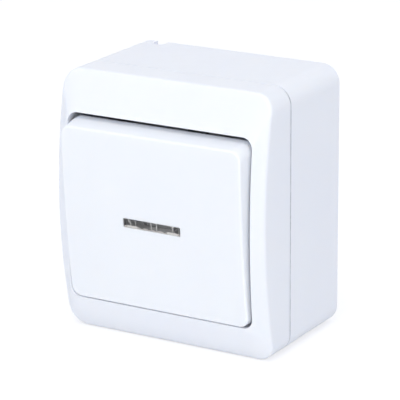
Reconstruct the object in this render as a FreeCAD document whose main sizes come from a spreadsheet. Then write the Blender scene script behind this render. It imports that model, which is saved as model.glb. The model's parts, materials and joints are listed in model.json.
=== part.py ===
import FreeCAD, Part
import math
import os
import re
import Sketcher

# Surface mounted light switch: a back box on the wall, a crowned front cover snapped over it, a
# rocking key with an indicator lens, and the switching mechanism between them.
# The frame's origin is the centre of the wall plane. Y points into the wall, the front looks along
# -Y, X points right and Z up. A depth is a distance from the wall, so it lies at y = -depth.

# Driving dimensions in millimetres and degrees: name, value, meaning
SIZES = [
    ("box_width", 66.0, "outside width of both shells"),
    ("box_height", 75.5, "outside height of both shells"),
    ("corner_radius", 5.3, "outline corners of both shells"),
    ("cover_depth", 14.28, "cover, from the joint line to the crown of its outer edge"),
    ("seam_gap", 0.3, "open joint line, also the thickness of the seal"),
    ("seam_round", 0.2, "outside edges at the joint line"),
    ("rear_round", 0.3, "rear outside edge of the box"),
    ("shell_wall", 2.4, "side walls of both shells"),
    ("back_wall", 2.4, "wall of the box that lies on the room's wall"),
    ("tongue_wall", 1.0, "locating tongue on the rim of the box"),
    ("tongue_height", 2.0, "tongue above the rim"),
    ("tongue_clearance", 0.15, "tongue to cover"),
    ("seal_width", 0.7, "width of the seal in the joint line"),
    ("seal_inset", 0.15, "seal from the tongue"),
    ("bezel_edge_drop", 1.62, "cover's outer front edge behind the opening's edge, at their crowns"),
    ("bezel_edge_radius", 141.7, "radius of that edge, seen from the side"),
    ("bezel_edge_crown", 1.3, "height of its crown above the middle"),
    ("bezel_lip_radius", 262.0, "radius of that edge, seen from the side"),
    ("bezel_side", 3.86, "cover's front beside the opening"),
    ("bezel_top", 11.34, "cover's front above the opening"),
    ("bezel_bottom", 10.54, "cover's front below the opening"),
    ("opening_corner", 3.0, "corners of the opening"),
    ("bezel_round", 1.2, "rounding of the cover's outer front edge"),
    ("lip_round", 0.2, "rounding of the opening's edge"),
    ("collar_wall", 1.4, "collar above and below the rocker"),
    ("collar_step", 2.5, "rear end of the collar before the tongue of the box"),
    ("bezel_wall", 2.0, "front wall of the cover"),
    ("hollow_inset", 1.0, "hollows behind the front wall, from the side walls"),
    ("hook_height", 16.0, "snap hooks above and below the middle"),
    ("hook_width", 8.0, "snap hook, along the wall"),
    ("hook_wall", 1.3, "arm of a snap hook"),
    ("hook_clearance", 0.3, "arm to the wall of the box"),
    ("hook_nose", 1.1, "nose beyond the arm"),
    ("hook_reach", 2.9, "holding face of the nose behind the joint line"),
    ("hook_nose_length", 3.0, "nose along the arm"),
    ("hook_land", 0.8, "flat top of the nose"),
    ("recess_clearance", 0.15, "nose in its recess"),
    ("wall_hole_width", 4.5, "slots for the wall screws"),
    ("wall_hole_length", 7.0, "slots for the wall screws"),
    ("wall_hole_side", 8.5, "middle of a slot from the side of the box"),
    ("wall_hole_end", 8.75, "middle of a slot from the top or bottom of the box"),
    ("notch_side", 7.1, "round-ended rear notch in the top wall, from the left side"),
    ("notch_width", 3.7, "rear notch"),
    ("notch_length", 4.0, "rear notch, from the wall"),
    ("notch_height", 3.6, "rear notch, down from the top"),
    ("notch_wall", 1.4, "closed pocket round the notch"),
    ("entry_depth", 14.0, "axis of the cable entry in the bottom wall"),
    ("entry_radius", 7.5, "cable entry"),
    ("entry_flange", 9.2, "flanges of the grommet"),
    ("entry_flange_wall", 1.0, "flanges of the grommet"),
    ("entry_clearance", 0.05, "grommet in its hole"),
    ("grommet_step_radius", 5.2, "stepped sleeve of the grommet"),
    ("grommet_step_height", 2.2, "stepped sleeve above the inner flange"),
    ("grommet_flare", 1.0, "sleeve's foot beyond its top"),
    ("grommet_wall", 1.0, "rubber wall and membrane"),
    ("post_depth", 6.4, "top of the posts under the mechanism"),
    ("post_radius", 3.4, "posts under the mechanism"),
    ("post_inset", 3.0, "mechanism screws from the base's top and bottom"),
    ("base_width", 43.0, "mechanism base"),
    ("base_height", 44.0, "mechanism base"),
    ("base_front", 18.9, "front face of the mechanism base"),
    ("base_corner", 1.5, "corners of the mechanism base and frame"),
    ("chamber_width", 12.0, "contact chamber"),
    ("lever_room", 3.0, "contact chamber beyond the lever's ends"),
    ("strip_depth", 10.2, "rear face of the terminal strips"),
    ("strip_wall", 0.8, "terminal strips and lever"),
    ("strip_width", 5.0, "terminal strips"),
    ("strip_clearance", 0.4, "strips and clamps in their channels"),
    ("terminal_side", 8.5, "terminals from the base's sides"),
    ("terminal_end", 7.0, "terminal screws above the base's bottom"),
    ("clamp_width", 7.0, "terminal clamp"),
    ("clamp_length", 6.0, "terminal clamp, along the wire"),
    ("clamp_height", 8.0, "terminal clamp"),
    ("clamp_wall", 1.0, "terminal clamp"),
    ("clamp_thread_wall", 1.8, "terminal clamp, round its screw"),
    ("wire_hole_radius", 2.0, "wire entries of the mechanism base"),
    ("terminal_screw_radius", 1.5, "terminal screw"),
    ("terminal_head_radius", 2.4, "terminal screw"),
    ("terminal_head_height", 1.5, "terminal screw"),
    ("terminal_head_gap", 0.2, "open terminal screw's head before its clamp"),
    ("terminal_screw_length", 4.0, "terminal screw"),
    ("screw_slot", 0.7, "slot of every screw head"),
    ("screw_clearance", 0.06, "screws in their holes"),
    ("lamp_tab_inset", 1.6, "ends of the lamp tabs inside the base's sides"),
    ("fulcrum_depth", 13.85, "edge that the lever rocks on"),
    ("fulcrum_clearance", 0.06, "lever above its edge"),
    ("lever_tilt", 4.0, "lever's angle at either end of its travel"),
    ("lever_length", 22.0, "contact lever"),
    ("lever_width", 7.0, "contact lever"),
    ("lever_notch", 1.1, "notches at the lever's pivot, across"),
    ("lever_notch_height", 2.0, "notches at the lever's pivot, upright"),
    ("stop_clearance", 0.3, "stops in the lever's notches"),
    ("stop_inset", 0.2, "stops inside the lever's sides"),
    ("stop_wall", 0.8, "stops, upright"),
    ("stop_reach", 0.8, "stops before the lever"),
    ("strip_overhang", 0.6, "common strip beyond the lever's side"),
    ("contact_offset", 9.0, "contacts from the pivot"),
    ("contact_radius", 1.7, "contact rivets"),
    ("contact_head", 1.0, "moving contact rivet"),
    ("contact_shank", 0.9, "contact rivets"),
    ("contact_button", 0.4, "headed end of the moving contact's shank"),
    ("contact_gap", 0.3, "contacts when closed, at their middle"),
    ("frame_wall", 1.6, "mechanism frame's plate"),
    ("ear_side", 4.5, "bearing ears from the base's sides"),
    ("ear_wall", 2.0, "bearing ears"),
    ("ear_width", 12.0, "bearing ears at the plate"),
    ("ear_top_width", 8.0, "bearing ears at the pivot"),
    ("ear_reach", 3.6, "ears before the rocker's axis"),
    ("ear_shoulder", 2.0, "ears narrow down to this far behind the rocker's axis"),
    ("tenon_width", 3.0, "tenons on the ears' ends"),
    ("tenon_height", 1.6, "tenons on the ears' ends"),
    ("tenon_clearance", 0.1, "tenons in the bridge"),
    ("plunger_window", 4.4, "hole in the frame for the plunger, radius"),
    ("mech_screw_radius", 1.5, "mechanism screws"),
    ("mech_head_radius", 2.9, "mechanism screws"),
    ("mech_head_height", 1.8, "mechanism screws"),
    ("mech_screw_tip", 1.2, "depth of the mechanism screws' ends"),
    ("mech_tip_gap", 0.4, "free bore beyond those ends"),
    ("pivot_depth", 33.0, "rocker's axis"),
    ("rest_tilt", 4.8, "rocker's angle at either end of its travel"),
    ("pivot_radius", 1.8, "pivot pins of the cradle"),
    ("pivot_clearance", 0.08, "pins in the ears"),
    ("pin_overhang", 0.2, "pins beyond the ears"),
    ("rocker_side_gap", 0.44, "rocker's rim to the opening, each side"),
    ("rocker_end_gap", 0.75, "rocker's rim to the opening, top and bottom, level"),
    ("rocker_rim", 6.5, "rocker's rear rim before its axis"),
    ("rocker_proud", 2.5, "rocker's crown before the crown of the opening's edge, level"),
    ("rocker_crown", 300.0, "radius of the rocker's face"),
    ("rocker_side_slant", 0.45, "side walls lean in by this much"),
    ("rocker_end_slant", 1.0, "top and bottom walls lean in by this much"),
    ("rocker_corner", 3.0, "corners of the rocker at its rim"),
    ("rocker_round", 0.6, "rounding of the rocker's front edge"),
    ("rocker_wall", 1.8, "rocker's side walls"),
    ("rocker_face_wall", 2.2, "rocker's front wall at its crown"),
    ("lens_width", 18.2, "slot for the lens"),
    ("lens_height", 2.65, "slot for the lens"),
    ("lens_corner", 0.3, "corners of the slot for the lens"),
    ("lens_clearance", 0.05, "lens in its slot"),
    ("lens_recess", 0.15, "lens below the rocker's face"),
    ("lens_foot", 1.2, "lens flange beyond the slot"),
    ("lens_foot_wall", 0.8, "lens flange"),
    ("bar_gap", 0.6, "cradle's bar between the ears, each end"),
    ("bar_height", 9.0, "cradle's bar"),
    ("bar_rear", 2.5, "bar's rear face behind the pivot"),
    ("bar_front", 2.0, "bar's front face before the pivot"),
    ("wing_width", 20.0, "cradle's wings"),
    ("wing_reach", 13.0, "cradle's wings from the middle"),
    ("wing_wall", 2.5, "cradle's wings"),
    ("soft_corner", 1.0, "corners of the cradle and the lamp bridge"),
    ("upright_wall", 2.4, "uprights that clip into the rocker"),
    ("upright_gap", 0.95, "ends of the uprights behind the rocker's front wall"),
    ("clip_rib_wall", 1.2, "ribs of the rocker beside the uprights"),
    ("clip_rib_height", 4.0, "those ribs, from the rocker's front wall"),
    ("clip_rib_over", 1.0, "those ribs beyond the uprights' sides"),
    ("clip_clearance", 0.1, "uprights between the ribs"),
    ("bead_radius", 0.5, "snap bead on an upright"),
    ("bead_sink", 0.1, "middle of a bead inside the upright's face"),
    ("bead_setback", 1.5, "bead behind the upright's end"),
    ("bead_inset", 2.0, "bead from the upright's sides"),
    ("boss_radius", 3.4, "plunger guide"),
    ("boss_rear", 11.5, "plunger guide behind the pivot"),
    ("bore_end", 1.8, "end of the guide's bore behind the pivot"),
    ("plunger_radius", 1.6, "plunger"),
    ("plunger_clearance", 0.08, "plunger in its guide"),
    ("plunger_gap", 0.2, "plunger above the lever"),
    ("plunger_shoulder", 7.5, "spring seat behind the pivot"),
    ("plunger_pilot", 0.7, "radius of the pin inside the spring"),
    ("plunger_pilot_length", 2.0, "pin inside the spring"),
    ("spring_radius", 1.15, "spring, to the middle of its wire"),
    ("spring_wire", 0.18, "spring wire, radius"),
    ("spring_clearance", 0.02, "spring from its seats"),
    ("spring_turns", 6.0, "spring"),
    ("bridge_wall", 1.2, "lamp bridge"),
    ("bridge_height", 8.0, "lamp bridge, upright"),
    ("lamp_radius", 2.5, "neon lamp"),
    ("lamp_clearance", 0.1, "lamp between the cheeks"),
    ("lamp_gap", 0.8, "lamp behind the lens"),
    ("lamp_length", 11.0, "neon lamp"),
    ("lamp_dome", 1.2, "domed ends of the lamp"),
    ("lamp_cheek", 1.2, "cheeks of the bridge beside the lamp"),
    ("cheek_inset", 1.5, "cheeks from the lamp's ends"),
    ("lead_radius", 0.4, "lamp leads"),
    ("lead_clearance", 0.2, "leads in the frame's holes"),
    ("lead_bend", 1.6, "bends of the lamp leads"),
    ("lead_gap", 1.9, "leads outside the ears, to their middle"),
    ("resistor_radius", 1.1, "resistor"),
    ("resistor_length", 6.5, "resistor"),
    ("resistor_cap", 1.6, "end caps of the resistor"),
    ("resistor_waist", 0.22, "resistor between its caps, thinner in radius"),
    ("resistor_back", 5.0, "middle of the resistor behind the rocker's axis"),
    ("cut_over", 1.0, "cuts run on past a face"),
    ("root", 0.2, "joined solids reach into each other"),
]

# Dimensions that follow from others: name, formula, meaning
FOLLOWING = [
    ("opening_width", "box_width - 2 * bezel_side", "opening for the rocker"),
    ("opening_height", "box_height - bezel_top - bezel_bottom", "opening for the rocker"),
    ("centre_height", "(bezel_bottom - bezel_top) / 2", "height of the opening and the mechanism"),
    ("post_pitch", "base_height - 2 * post_inset", "mechanism screws apart"),
    ("terminal_x", "base_width / 2 - terminal_side", "terminals from the middle"),
    ("terminal_drop", "base_height / 2 - terminal_end", "terminals below the middle"),
    ("chamber_height", "lever_length + 2 * lever_room", "contact chamber"),
    ("lamp_tab", "base_width / 2 - lamp_tab_inset", "ends of the terminal strips' lamp tabs"),
    ("ear_inner", "base_width / 2 - ear_side - ear_wall", "bearing ears, inner face from the middle"),
    ("lead_x", "ear_inner + ear_wall + lead_gap", "leads from the middle"),
    ("bar_width", "2 * (ear_inner - bar_gap)", "cradle's bar between the ears"),
    ("resistor_depth", "pivot_depth - resistor_back", "middle of the resistor"),
    ("ear_top", "pivot_depth + ear_reach", "depth of the ears' ends"),
    ("lamp_depth", "ear_top + bridge_wall + lamp_radius", "axis of the lamp"),
    ("foot_depth", "lamp_depth + lamp_radius + lamp_gap", "rear face of the lens's flange"),
    ("rocker_inside", "foot_depth + lens_foot_wall", "rear face of the rocker's front wall"),
    ("rocker_front", "rocker_inside + rocker_face_wall", "depth of the rocker's crown, level"),
    ("rocker_rear", "pivot_depth + rocker_rim", "depth of the rocker's rear rim, level"),
    ("upright_end", "rocker_inside - pivot_depth - upright_gap", "ends of the uprights before the axis"),
    ("bezel_lip_depth", "rocker_front - rocker_proud", "crown of the edge round the opening"),
    ("bezel_edge_depth", "bezel_lip_depth - bezel_edge_drop", "crown of the cover's outer front edge"),
    ("seam_depth", "bezel_edge_depth - cover_depth", "middle of the joint line between the shells"),
    ("cover_rear", "seam_depth + seam_gap / 2", "rear rim of the cover"),
    ("box_rim", "seam_depth - seam_gap / 2", "rim of the box"),
    ("collar_depth", "cover_rear + tongue_height + tongue_clearance + collar_step", "rear end of the collar"),
    ("hook_nose_depth", "seam_depth - hook_reach", "holding face of the nose"),
    ("wall_hole_pitch_x", "box_width - 2 * wall_hole_side", "slots apart, across"),
    ("wall_hole_pitch_z", "box_height - 2 * wall_hole_end", "slots apart, upright"),
    ("notch_left", "box_width / 2 - notch_side", "left side of the rear notch from the middle"),
]

doc = FreeCAD.newDocument("light_switch")
sheet = doc.addObject("Spreadsheet::Sheet", "sizes")
for row, (alias, number, note) in enumerate(SIZES, start=1):
    sheet.set(f"A{row}", note)
    sheet.set(f"B{row}", str(number))
    sheet.setAlias(f"B{row}", alias)
for row, (alias, formula, note) in enumerate(FOLLOWING, start=len(SIZES) + 1):
    sheet.set(f"A{row}", note)
    sheet.set(f"B{row}", f"={formula}")
    sheet.setAlias(f"B{row}", alias)
doc.recompute()
NAMES = {alias for alias, entry, note in SIZES + FOLLOWING}
CORNERS = ((-1, -1), (1, -1), (1, 1), (-1, 1))
LEVEL = 0.05  # how near a face an edge has to lie to count as on it


def bound(text):
    """The formula with each size's name pointing at the sheet."""
    return re.sub(r"[a-z_]+", lambda word: "sizes." + word[0] if word[0] in NAMES else word[0], text)


def value(text):
    """The number that a formula gives."""
    return float(sheet.evalExpression(bound(text)))


# Bodies and their places


def new_body(name, x="0", depth="0", height="0", tilt=None):
    """A body whose own frame lies at x, depth and height, tilted about X."""
    body = doc.addObject("PartDesign::Body", name)
    body.Label = name
    body.setExpression("Placement.Base.x", bound(x))
    body.setExpression("Placement.Base.y", bound(f"-({depth})"))
    body.setExpression("Placement.Base.z", bound(height))
    if tilt:
        body.Placement.Rotation = FreeCAD.Rotation(FreeCAD.Vector(1, 0, 0), 1)
        body.setExpression("Placement.Rotation.Angle", bound(tilt))
    return body


def mechanism_body(name):
    return new_body(name, height="centre_height")


def rocker_body(name):
    return new_body(name, depth="pivot_depth", height="centre_height", tilt="rest_tilt")


def lever_body(name):
    return new_body(name, depth="fulcrum_depth", height="centre_height", tilt="-lever_tilt")


# Sketches: "front" lies across the depth, "side" across X and "plan" across Z


def new_sketch(body, name, view, offset="0"):
    sketch = body.newObject("Sketcher::SketchObject", f"{body.Name}_{name}")
    role = {"front": "XZ_Plane", "side": "YZ_Plane", "plan": "XY_Plane"}[view]
    plane = [one for one in body.Origin.OriginFeatures if one.Role == role][0]
    sketch.AttachmentSupport = [(plane, "")]
    sketch.MapMode = "FlatFace"
    sketch.setExpression("AttachmentOffset.Base.z", bound(offset))
    return sketch


def tie(sketch, kind, *where, size):
    """One driving constraint, bound to its formula."""
    index = sketch.addConstraint(Sketcher.Constraint(kind, *where, value(size)))
    sketch.setExpression(f"Constraints[{index}]", bound(size))


def place_point(sketch, edge, end, x, y):
    tie(sketch, "DistanceX", -1, 1, edge, end, size=x)
    tie(sketch, "DistanceY", -1, 1, edge, end, size=y)


def bulging_arc(start, stop, radius, sign):
    """Anticlockwise arc through both points, bulging to the right of start to stop for sign 1."""
    across = (stop - start).cross(FreeCAD.Vector(0, 0, sign)).normalize()
    half = (stop - start).Length / 2
    centre = (start + stop) / 2 - across * math.sqrt(max(radius**2 - half**2, 0.0))
    low, high = (start, stop) if sign > 0 else (stop, start)
    begin = math.atan2(low.y - centre.y, low.x - centre.x)
    end = math.atan2(high.y - centre.y, high.x - centre.x)
    if end < begin:
        end += 2 * math.pi
    return Part.ArcOfCircle(Part.Circle(centre, FreeCAD.Vector(0, 0, 1), radius), begin, end)


def polygon(sketch, points, arcs=()):
    """A closed outline; arcs gives (side, radius formula, bulge side) for sides that are arcs."""
    first = sketch.GeometryCount
    spots = [FreeCAD.Vector(value(x), value(y), 0) for x, y in points]
    count = len(spots)
    bulges = {side: (radius, sign) for side, radius, sign in arcs}
    ends = []
    for side in range(count):
        start = spots[side]
        stop = spots[(side + 1) % count]
        if side in bulges:
            radius, sign = bulges[side]
            sketch.addGeometry(bulging_arc(start, stop, value(radius), sign), False)
            ends.append((1, 2) if sign > 0 else (2, 1))
        else:
            sketch.addGeometry(Part.LineSegment(start, stop), False)
            ends.append((1, 2))
    for side, (x, y) in enumerate(points):
        after = (side + 1) % count
        sketch.addConstraint(
            Sketcher.Constraint("Coincident", first + side, ends[side][1], first + after, ends[after][0])
        )
        place_point(sketch, first + side, ends[side][0], x, y)
        if side in bulges:
            tie(sketch, "Radius", first + side, size=bulges[side][0])


def rectangle(sketch, left, right, low, high):
    polygon(sketch, [(left, low), (right, low), (right, high), (left, high)])


def circle(sketch, x, y, radius):
    centre = FreeCAD.Vector(value(x), value(y), 0)
    edge = sketch.addGeometry(Part.Circle(centre, FreeCAD.Vector(0, 0, 1), value(radius)), False)
    place_point(sketch, edge, 3, x, y)
    tie(sketch, "Radius", edge, size=radius)


def rounded(sketch, half_x, half_y, radius, x="0", y="0"):
    """A rectangle about (x, y) with round corners."""
    first = sketch.GeometryCount
    wide = value(half_x)
    tall = value(half_y)
    bend = value(radius)
    middle = FreeCAD.Vector(value(x), value(y), 0)
    turns = (270, 0, 90, 180)
    centres = [middle + FreeCAD.Vector(i * (wide - bend), j * (tall - bend), 0) for i, j in CORNERS[1:] + CORNERS[:1]]
    for side in range(4):
        start = math.radians(turns[side])
        ring = Part.Circle(centres[side], FreeCAD.Vector(0, 0, 1), bend)
        sketch.addGeometry(Part.ArcOfCircle(ring, start, start + math.pi / 2), False)
    for side in range(4):
        stop = sketch.Geometry[first + side].EndPoint
        start = sketch.Geometry[first + (side + 1) % 4].StartPoint
        sketch.addGeometry(Part.LineSegment(stop, start), False)
    for side in range(4):
        line = first + 4 + side
        sketch.addConstraint(Sketcher.Constraint("Tangent", first + side, 2, line, 1))
        sketch.addConstraint(Sketcher.Constraint("Tangent", line, 2, first + (side + 1) % 4, 1))
        tie(sketch, "Radius", first + side, size=radius)
    tie(sketch, "DistanceX", -1, 1, first + 4, 1, size=f"{x} + {half_x}")
    tie(sketch, "DistanceY", -1, 1, first + 5, 1, size=f"{y} + {half_y}")
    tie(sketch, "DistanceX", -1, 1, first + 6, 1, size=f"{x} - ({half_x})")
    tie(sketch, "DistanceY", -1, 1, first + 7, 1, size=f"{y} - ({half_y})")


def slot(sketch, start, stop, radius):
    """A slot with round ends about two points."""
    first = sketch.GeometryCount
    bend = value(radius)
    centres = [FreeCAD.Vector(value(x), value(y), 0) for x, y in (start, stop)]
    along = centres[1] - centres[0]
    heading = math.atan2(along.y, along.x)
    for centre, turn in zip(centres, (math.pi / 2, -math.pi / 2)):
        ring = Part.Circle(centre, FreeCAD.Vector(0, 0, 1), bend)
        sketch.addGeometry(Part.ArcOfCircle(ring, heading + turn, heading + turn + math.pi), False)
    for near, far in ((0, 1), (1, 0)):
        begin = sketch.Geometry[first + near].EndPoint
        end = sketch.Geometry[first + far].StartPoint
        line = sketch.addGeometry(Part.LineSegment(begin, end), False)
        sketch.addConstraint(Sketcher.Constraint("Tangent", first + near, 2, line, 1))
        sketch.addConstraint(Sketcher.Constraint("Tangent", line, 2, first + far, 1))
    for arc, (x, y) in enumerate((start, stop)):
        place_point(sketch, first + arc, 3, x, y)
        tie(sketch, "Radius", first + arc, size=radius)


# Features


def feature(sketch, kind, **settings):
    body = sketch.getParentGeoFeatureGroup()
    made = body.newObject(f"PartDesign::{kind}", f"{sketch.Name}_{kind.lower()}")
    made.Profile = sketch
    sketch.Visibility = False
    for name, setting in settings.items():
        setattr(made, name, setting)
    return made


def pad(sketch, length, flip=False, middle=False):
    made = feature(sketch, "Pad", Reversed=flip, SideType="Symmetric" if middle else "One side")
    made.setExpression("Length", bound(length))
    doc.recompute()
    return made


def pocket(sketch, length, flip=False, middle=False):
    """A cut into the body behind the sketch, which has to take something away."""
    body = sketch.getParentGeoFeatureGroup()
    before = body.Shape.Volume
    made = feature(sketch, "Pocket", Reversed=flip, SideType="Symmetric" if middle else "One side")
    made.setExpression("Length", bound(length))
    doc.recompute()
    if body.Shape.Volume > before - 1e-6:
        raise ValueError(f"{made.Name} cuts nothing")
    return made


def turned(sketch, axis="V_Axis"):
    made = feature(sketch, "Revolution", Angle=360)
    made.ReferenceAxis = (sketch, [axis])
    doc.recompute()
    return made


def edges_where(shape, test):
    """Names of the edges whose middle point and box pass the test."""
    found = []
    for number, edge in enumerate(shape.Edges, start=1):
        spot = edge.valueAt((edge.FirstParameter + edge.LastParameter) / 2)
        if test(spot, edge.BoundBox):
            found.append(f"Edge{number}")
    return found


def fillet(body, names, radius):
    base = body.Tip
    made = body.newObject("PartDesign::Fillet", f"{base.Name}_fillet")
    made.Base = (base, names)
    made.setExpression("Radius", bound(radius))
    doc.recompute()
    return made


# Crowned bezel of the cover


def crowned_loop(half_x, half_z, bend, middle_z, depth_at):
    """Eight stretches of points round a rounded rectangle that lies on a crowned surface."""
    stretches = []
    spots = [(half_x - bend, middle_z + j * (half_z - bend), i, j) for i, j in ((1, -1), (1, 1))]
    spots += [(-(half_x - bend), middle_z + j * (half_z - bend), -1, j) for j in (1, -1)]
    steps = 8
    for number, (x, z, i, j) in enumerate(spots):
        start = (-90, 0, 90, 180)[number]
        turn = [math.radians(start + 90 * step / steps) for step in range(steps + 1)]
        corner = [(x + bend * math.cos(a), z + bend * math.sin(a)) for a in turn]
        stretches.append(corner)
    loop = []
    for number in range(4):
        corner = stretches[number]
        after = stretches[(number + 1) % 4][0]
        last = corner[-1]
        straight = [
            (last[0] + (after[0] - last[0]) * step / steps, last[1] + (after[1] - last[1]) * step / steps)
            for step in range(steps + 1)
        ]
        loop.append([FreeCAD.Vector(x, -depth_at(z), z) for x, z in corner])
        loop.append([FreeCAD.Vector(x, -depth_at(z), z) for x, z in straight])
    return loop


def curve_edges(loop):
    """One smooth edge through each stretch, all with the same parameters."""
    edges = []
    for points in loop:
        curve = Part.BSplineCurve()
        curve.interpolate(Points=points, Parameters=[step / (len(points) - 1) for step in range(len(points))])
        edges.append(curve.toShape())
    return edges


def arc_depth(crown, radius, crown_z):
    return lambda z: crown - radius + math.sqrt(radius**2 - (z - crown_z) ** 2)


def bezel_blank():
    """The cover's outside with its opening: straight rulings from the lip to the outer edge."""
    half_x = value("box_width / 2")
    half_z = value("box_height / 2")
    edge_at = arc_depth(value("bezel_edge_depth"), value("bezel_edge_radius"), value("bezel_edge_crown"))
    lip_at = arc_depth(value("bezel_lip_depth"), value("bezel_lip_radius"), value("centre_height"))
    outer = crowned_loop(half_x, half_z, value("corner_radius"), 0.0, edge_at)
    lip = crowned_loop(
        value("opening_width / 2"),
        value("opening_height / 2"),
        value("opening_corner"),
        value("centre_height"),
        lip_at,
    )
    overshoot = 0.4  # share of the rulings that runs on past the outline
    beyond = [[o + (o - i) * overshoot for o, i in zip(a, b)] for a, b in zip(outer, lip)]
    rear = -value("cover_rear")
    lip_rear = [[FreeCAD.Vector(p.x, rear, p.z) for p in stretch] for stretch in lip]
    beyond_rear = [[FreeCAD.Vector(p.x, rear, p.z) for p in stretch] for stretch in beyond]
    rings = [curve_edges(one) for one in (lip, beyond, beyond_rear, lip_rear)]
    faces = []
    for number in range(4):
        for a, b in zip(rings[number], rings[(number + 1) % 4]):
            faces.append(Part.makeRuledSurface(a, b))
    shell = Part.makeShell(faces)
    shell.sewShape()
    ring = Part.makeSolid(shell)
    if ring.Volume < 0:
        ring.reverse()
    blank = doc.addObject("Part::Feature", "bezel_blank")
    blank.Shape = outline_prism(rear).common(ring)
    return blank


def outline_prism(rear):
    """The cover's rounded outline, from its rear rim to beyond its crown."""
    half_x = value("box_width / 2")
    half_z = value("box_height / 2")
    length = value("bezel_lip_depth + cut_over") + rear
    block = Part.makeBox(2 * half_x, length, 2 * half_z, FreeCAD.Vector(-half_x, rear - length, -half_z))
    uprights = [edge for edge in block.Edges if abs(edge.BoundBox.YLength - length) < 1e-6]
    return block.makeFillet(value("corner_radius"), uprights)


# Casing


def front_cover():
    """Crowned cover: hollow behind, collar round the rocker, four snap hooks."""
    blank = bezel_blank()
    body = new_body("front_cover")
    body.BaseFeature = blank
    doc.recompute()
    half_x = value("box_width / 2")
    half_z = value("box_height / 2")
    bend = value("corner_radius")

    def on_outline(spot):
        gap_x = max(abs(spot.x) - (half_x - bend), 0.0)
        gap_z = max(abs(spot.z) - (half_z - bend), 0.0)
        return math.hypot(gap_x, gap_z) > bend - LEVEL

    rear = -value("cover_rear")
    front = edges_where(body.Shape, lambda spot, box: box.YMax < rear - bend and on_outline(spot))
    fillet(body, front, "bezel_round")
    lip = edges_where(body.Shape, lambda spot, box: box.YMax < rear - bend and lies_on_opening(spot))
    fillet(body, lip, "lip_round")
    rim = edges_where(body.Shape, lambda spot, box: box.YMin > rear - LEVEL and on_outline(spot))
    fillet(body, rim, "seam_round")

    hollow = new_sketch(body, "hollow", "front", "cover_rear")
    rounded(hollow, "box_width / 2 - shell_wall", "box_height / 2 - shell_wall", "corner_radius - shell_wall")
    pocket(hollow, "collar_depth - cover_rear", flip=True)
    for name, sign in (("top", "+"), ("bottom", "-")):
        band = new_sketch(body, f"hollow_{name}", "side")
        wall = f"{sign}(box_height / 2 - shell_wall)"
        collar = f"centre_height {sign} (opening_height / 2 + collar_wall)"
        points = [
            ("-(collar_depth - cut_over)", wall),
            (f"-({bezel_edge_formula(f'{sign}box_height / 2')} - bezel_wall)", wall),
            (f"-({bezel_lip_formula(collar)} - bezel_wall)", collar),
            ("-(collar_depth - cut_over)", collar),
        ]
        polygon(band, points)
        pocket(band, "box_width - 2 * shell_wall - 2 * hollow_inset", middle=True)
    rebate = new_sketch(body, "rebate", "front", "cover_rear")
    lap = "shell_wall - tongue_wall - tongue_clearance"
    rounded(rebate, f"box_width / 2 - ({lap})", f"box_height / 2 - ({lap})", f"corner_radius - ({lap})")
    pocket(rebate, "tongue_height + tongue_clearance", flip=True)

    arm_out = "box_width / 2 - shell_wall - hook_clearance"
    for name, level in (("upper", "centre_height + hook_height"), ("lower", "centre_height - hook_height")):
        hooks = new_sketch(body, f"hooks_{name}", "plan", level)
        for sign in ("", "-"):
            nose_rear = "hook_nose_depth - hook_nose_length"
            points = [
                (f"{sign}({arm_out} - hook_wall)", "-(collar_depth + root)"),
                (f"{sign}({arm_out} - hook_wall)", f"-({nose_rear})"),
                (f"{sign}({arm_out} - hook_wall / 2)", f"-({nose_rear})"),
                (f"{sign}({arm_out} + hook_nose)", "-(hook_nose_depth - hook_land)"),
                (f"{sign}({arm_out} + hook_nose)", "-hook_nose_depth"),
                (f"{sign}({arm_out})", "-hook_nose_depth"),
                (f"{sign}({arm_out})", "-(collar_depth + root)"),
            ]
            polygon(hooks, points)
        pad(hooks, "hook_width", middle=True)
    return body


def lies_on_opening(spot):
    bend = value("opening_corner")
    gap_x = max(abs(spot.x) - (value("opening_width / 2") - bend), 0.0)
    gap_z = max(abs(spot.z - value("centre_height")) - (value("opening_height / 2") - bend), 0.0)
    return abs(math.hypot(gap_x, gap_z) - bend) < LEVEL


def bezel_edge_formula(height):
    """Depth of the cover's outer front edge at a height."""
    radius = "bezel_edge_radius"
    return f"bezel_edge_depth - {radius} + sqrt({radius} ^ 2 - ({height} - bezel_edge_crown) ^ 2)"


def bezel_lip_formula(height):
    """Depth of the opening's edge at a height."""
    radius = "bezel_lip_radius"
    return f"bezel_lip_depth - {radius} + sqrt({radius} ^ 2 - ({height} - centre_height) ^ 2)"


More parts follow.
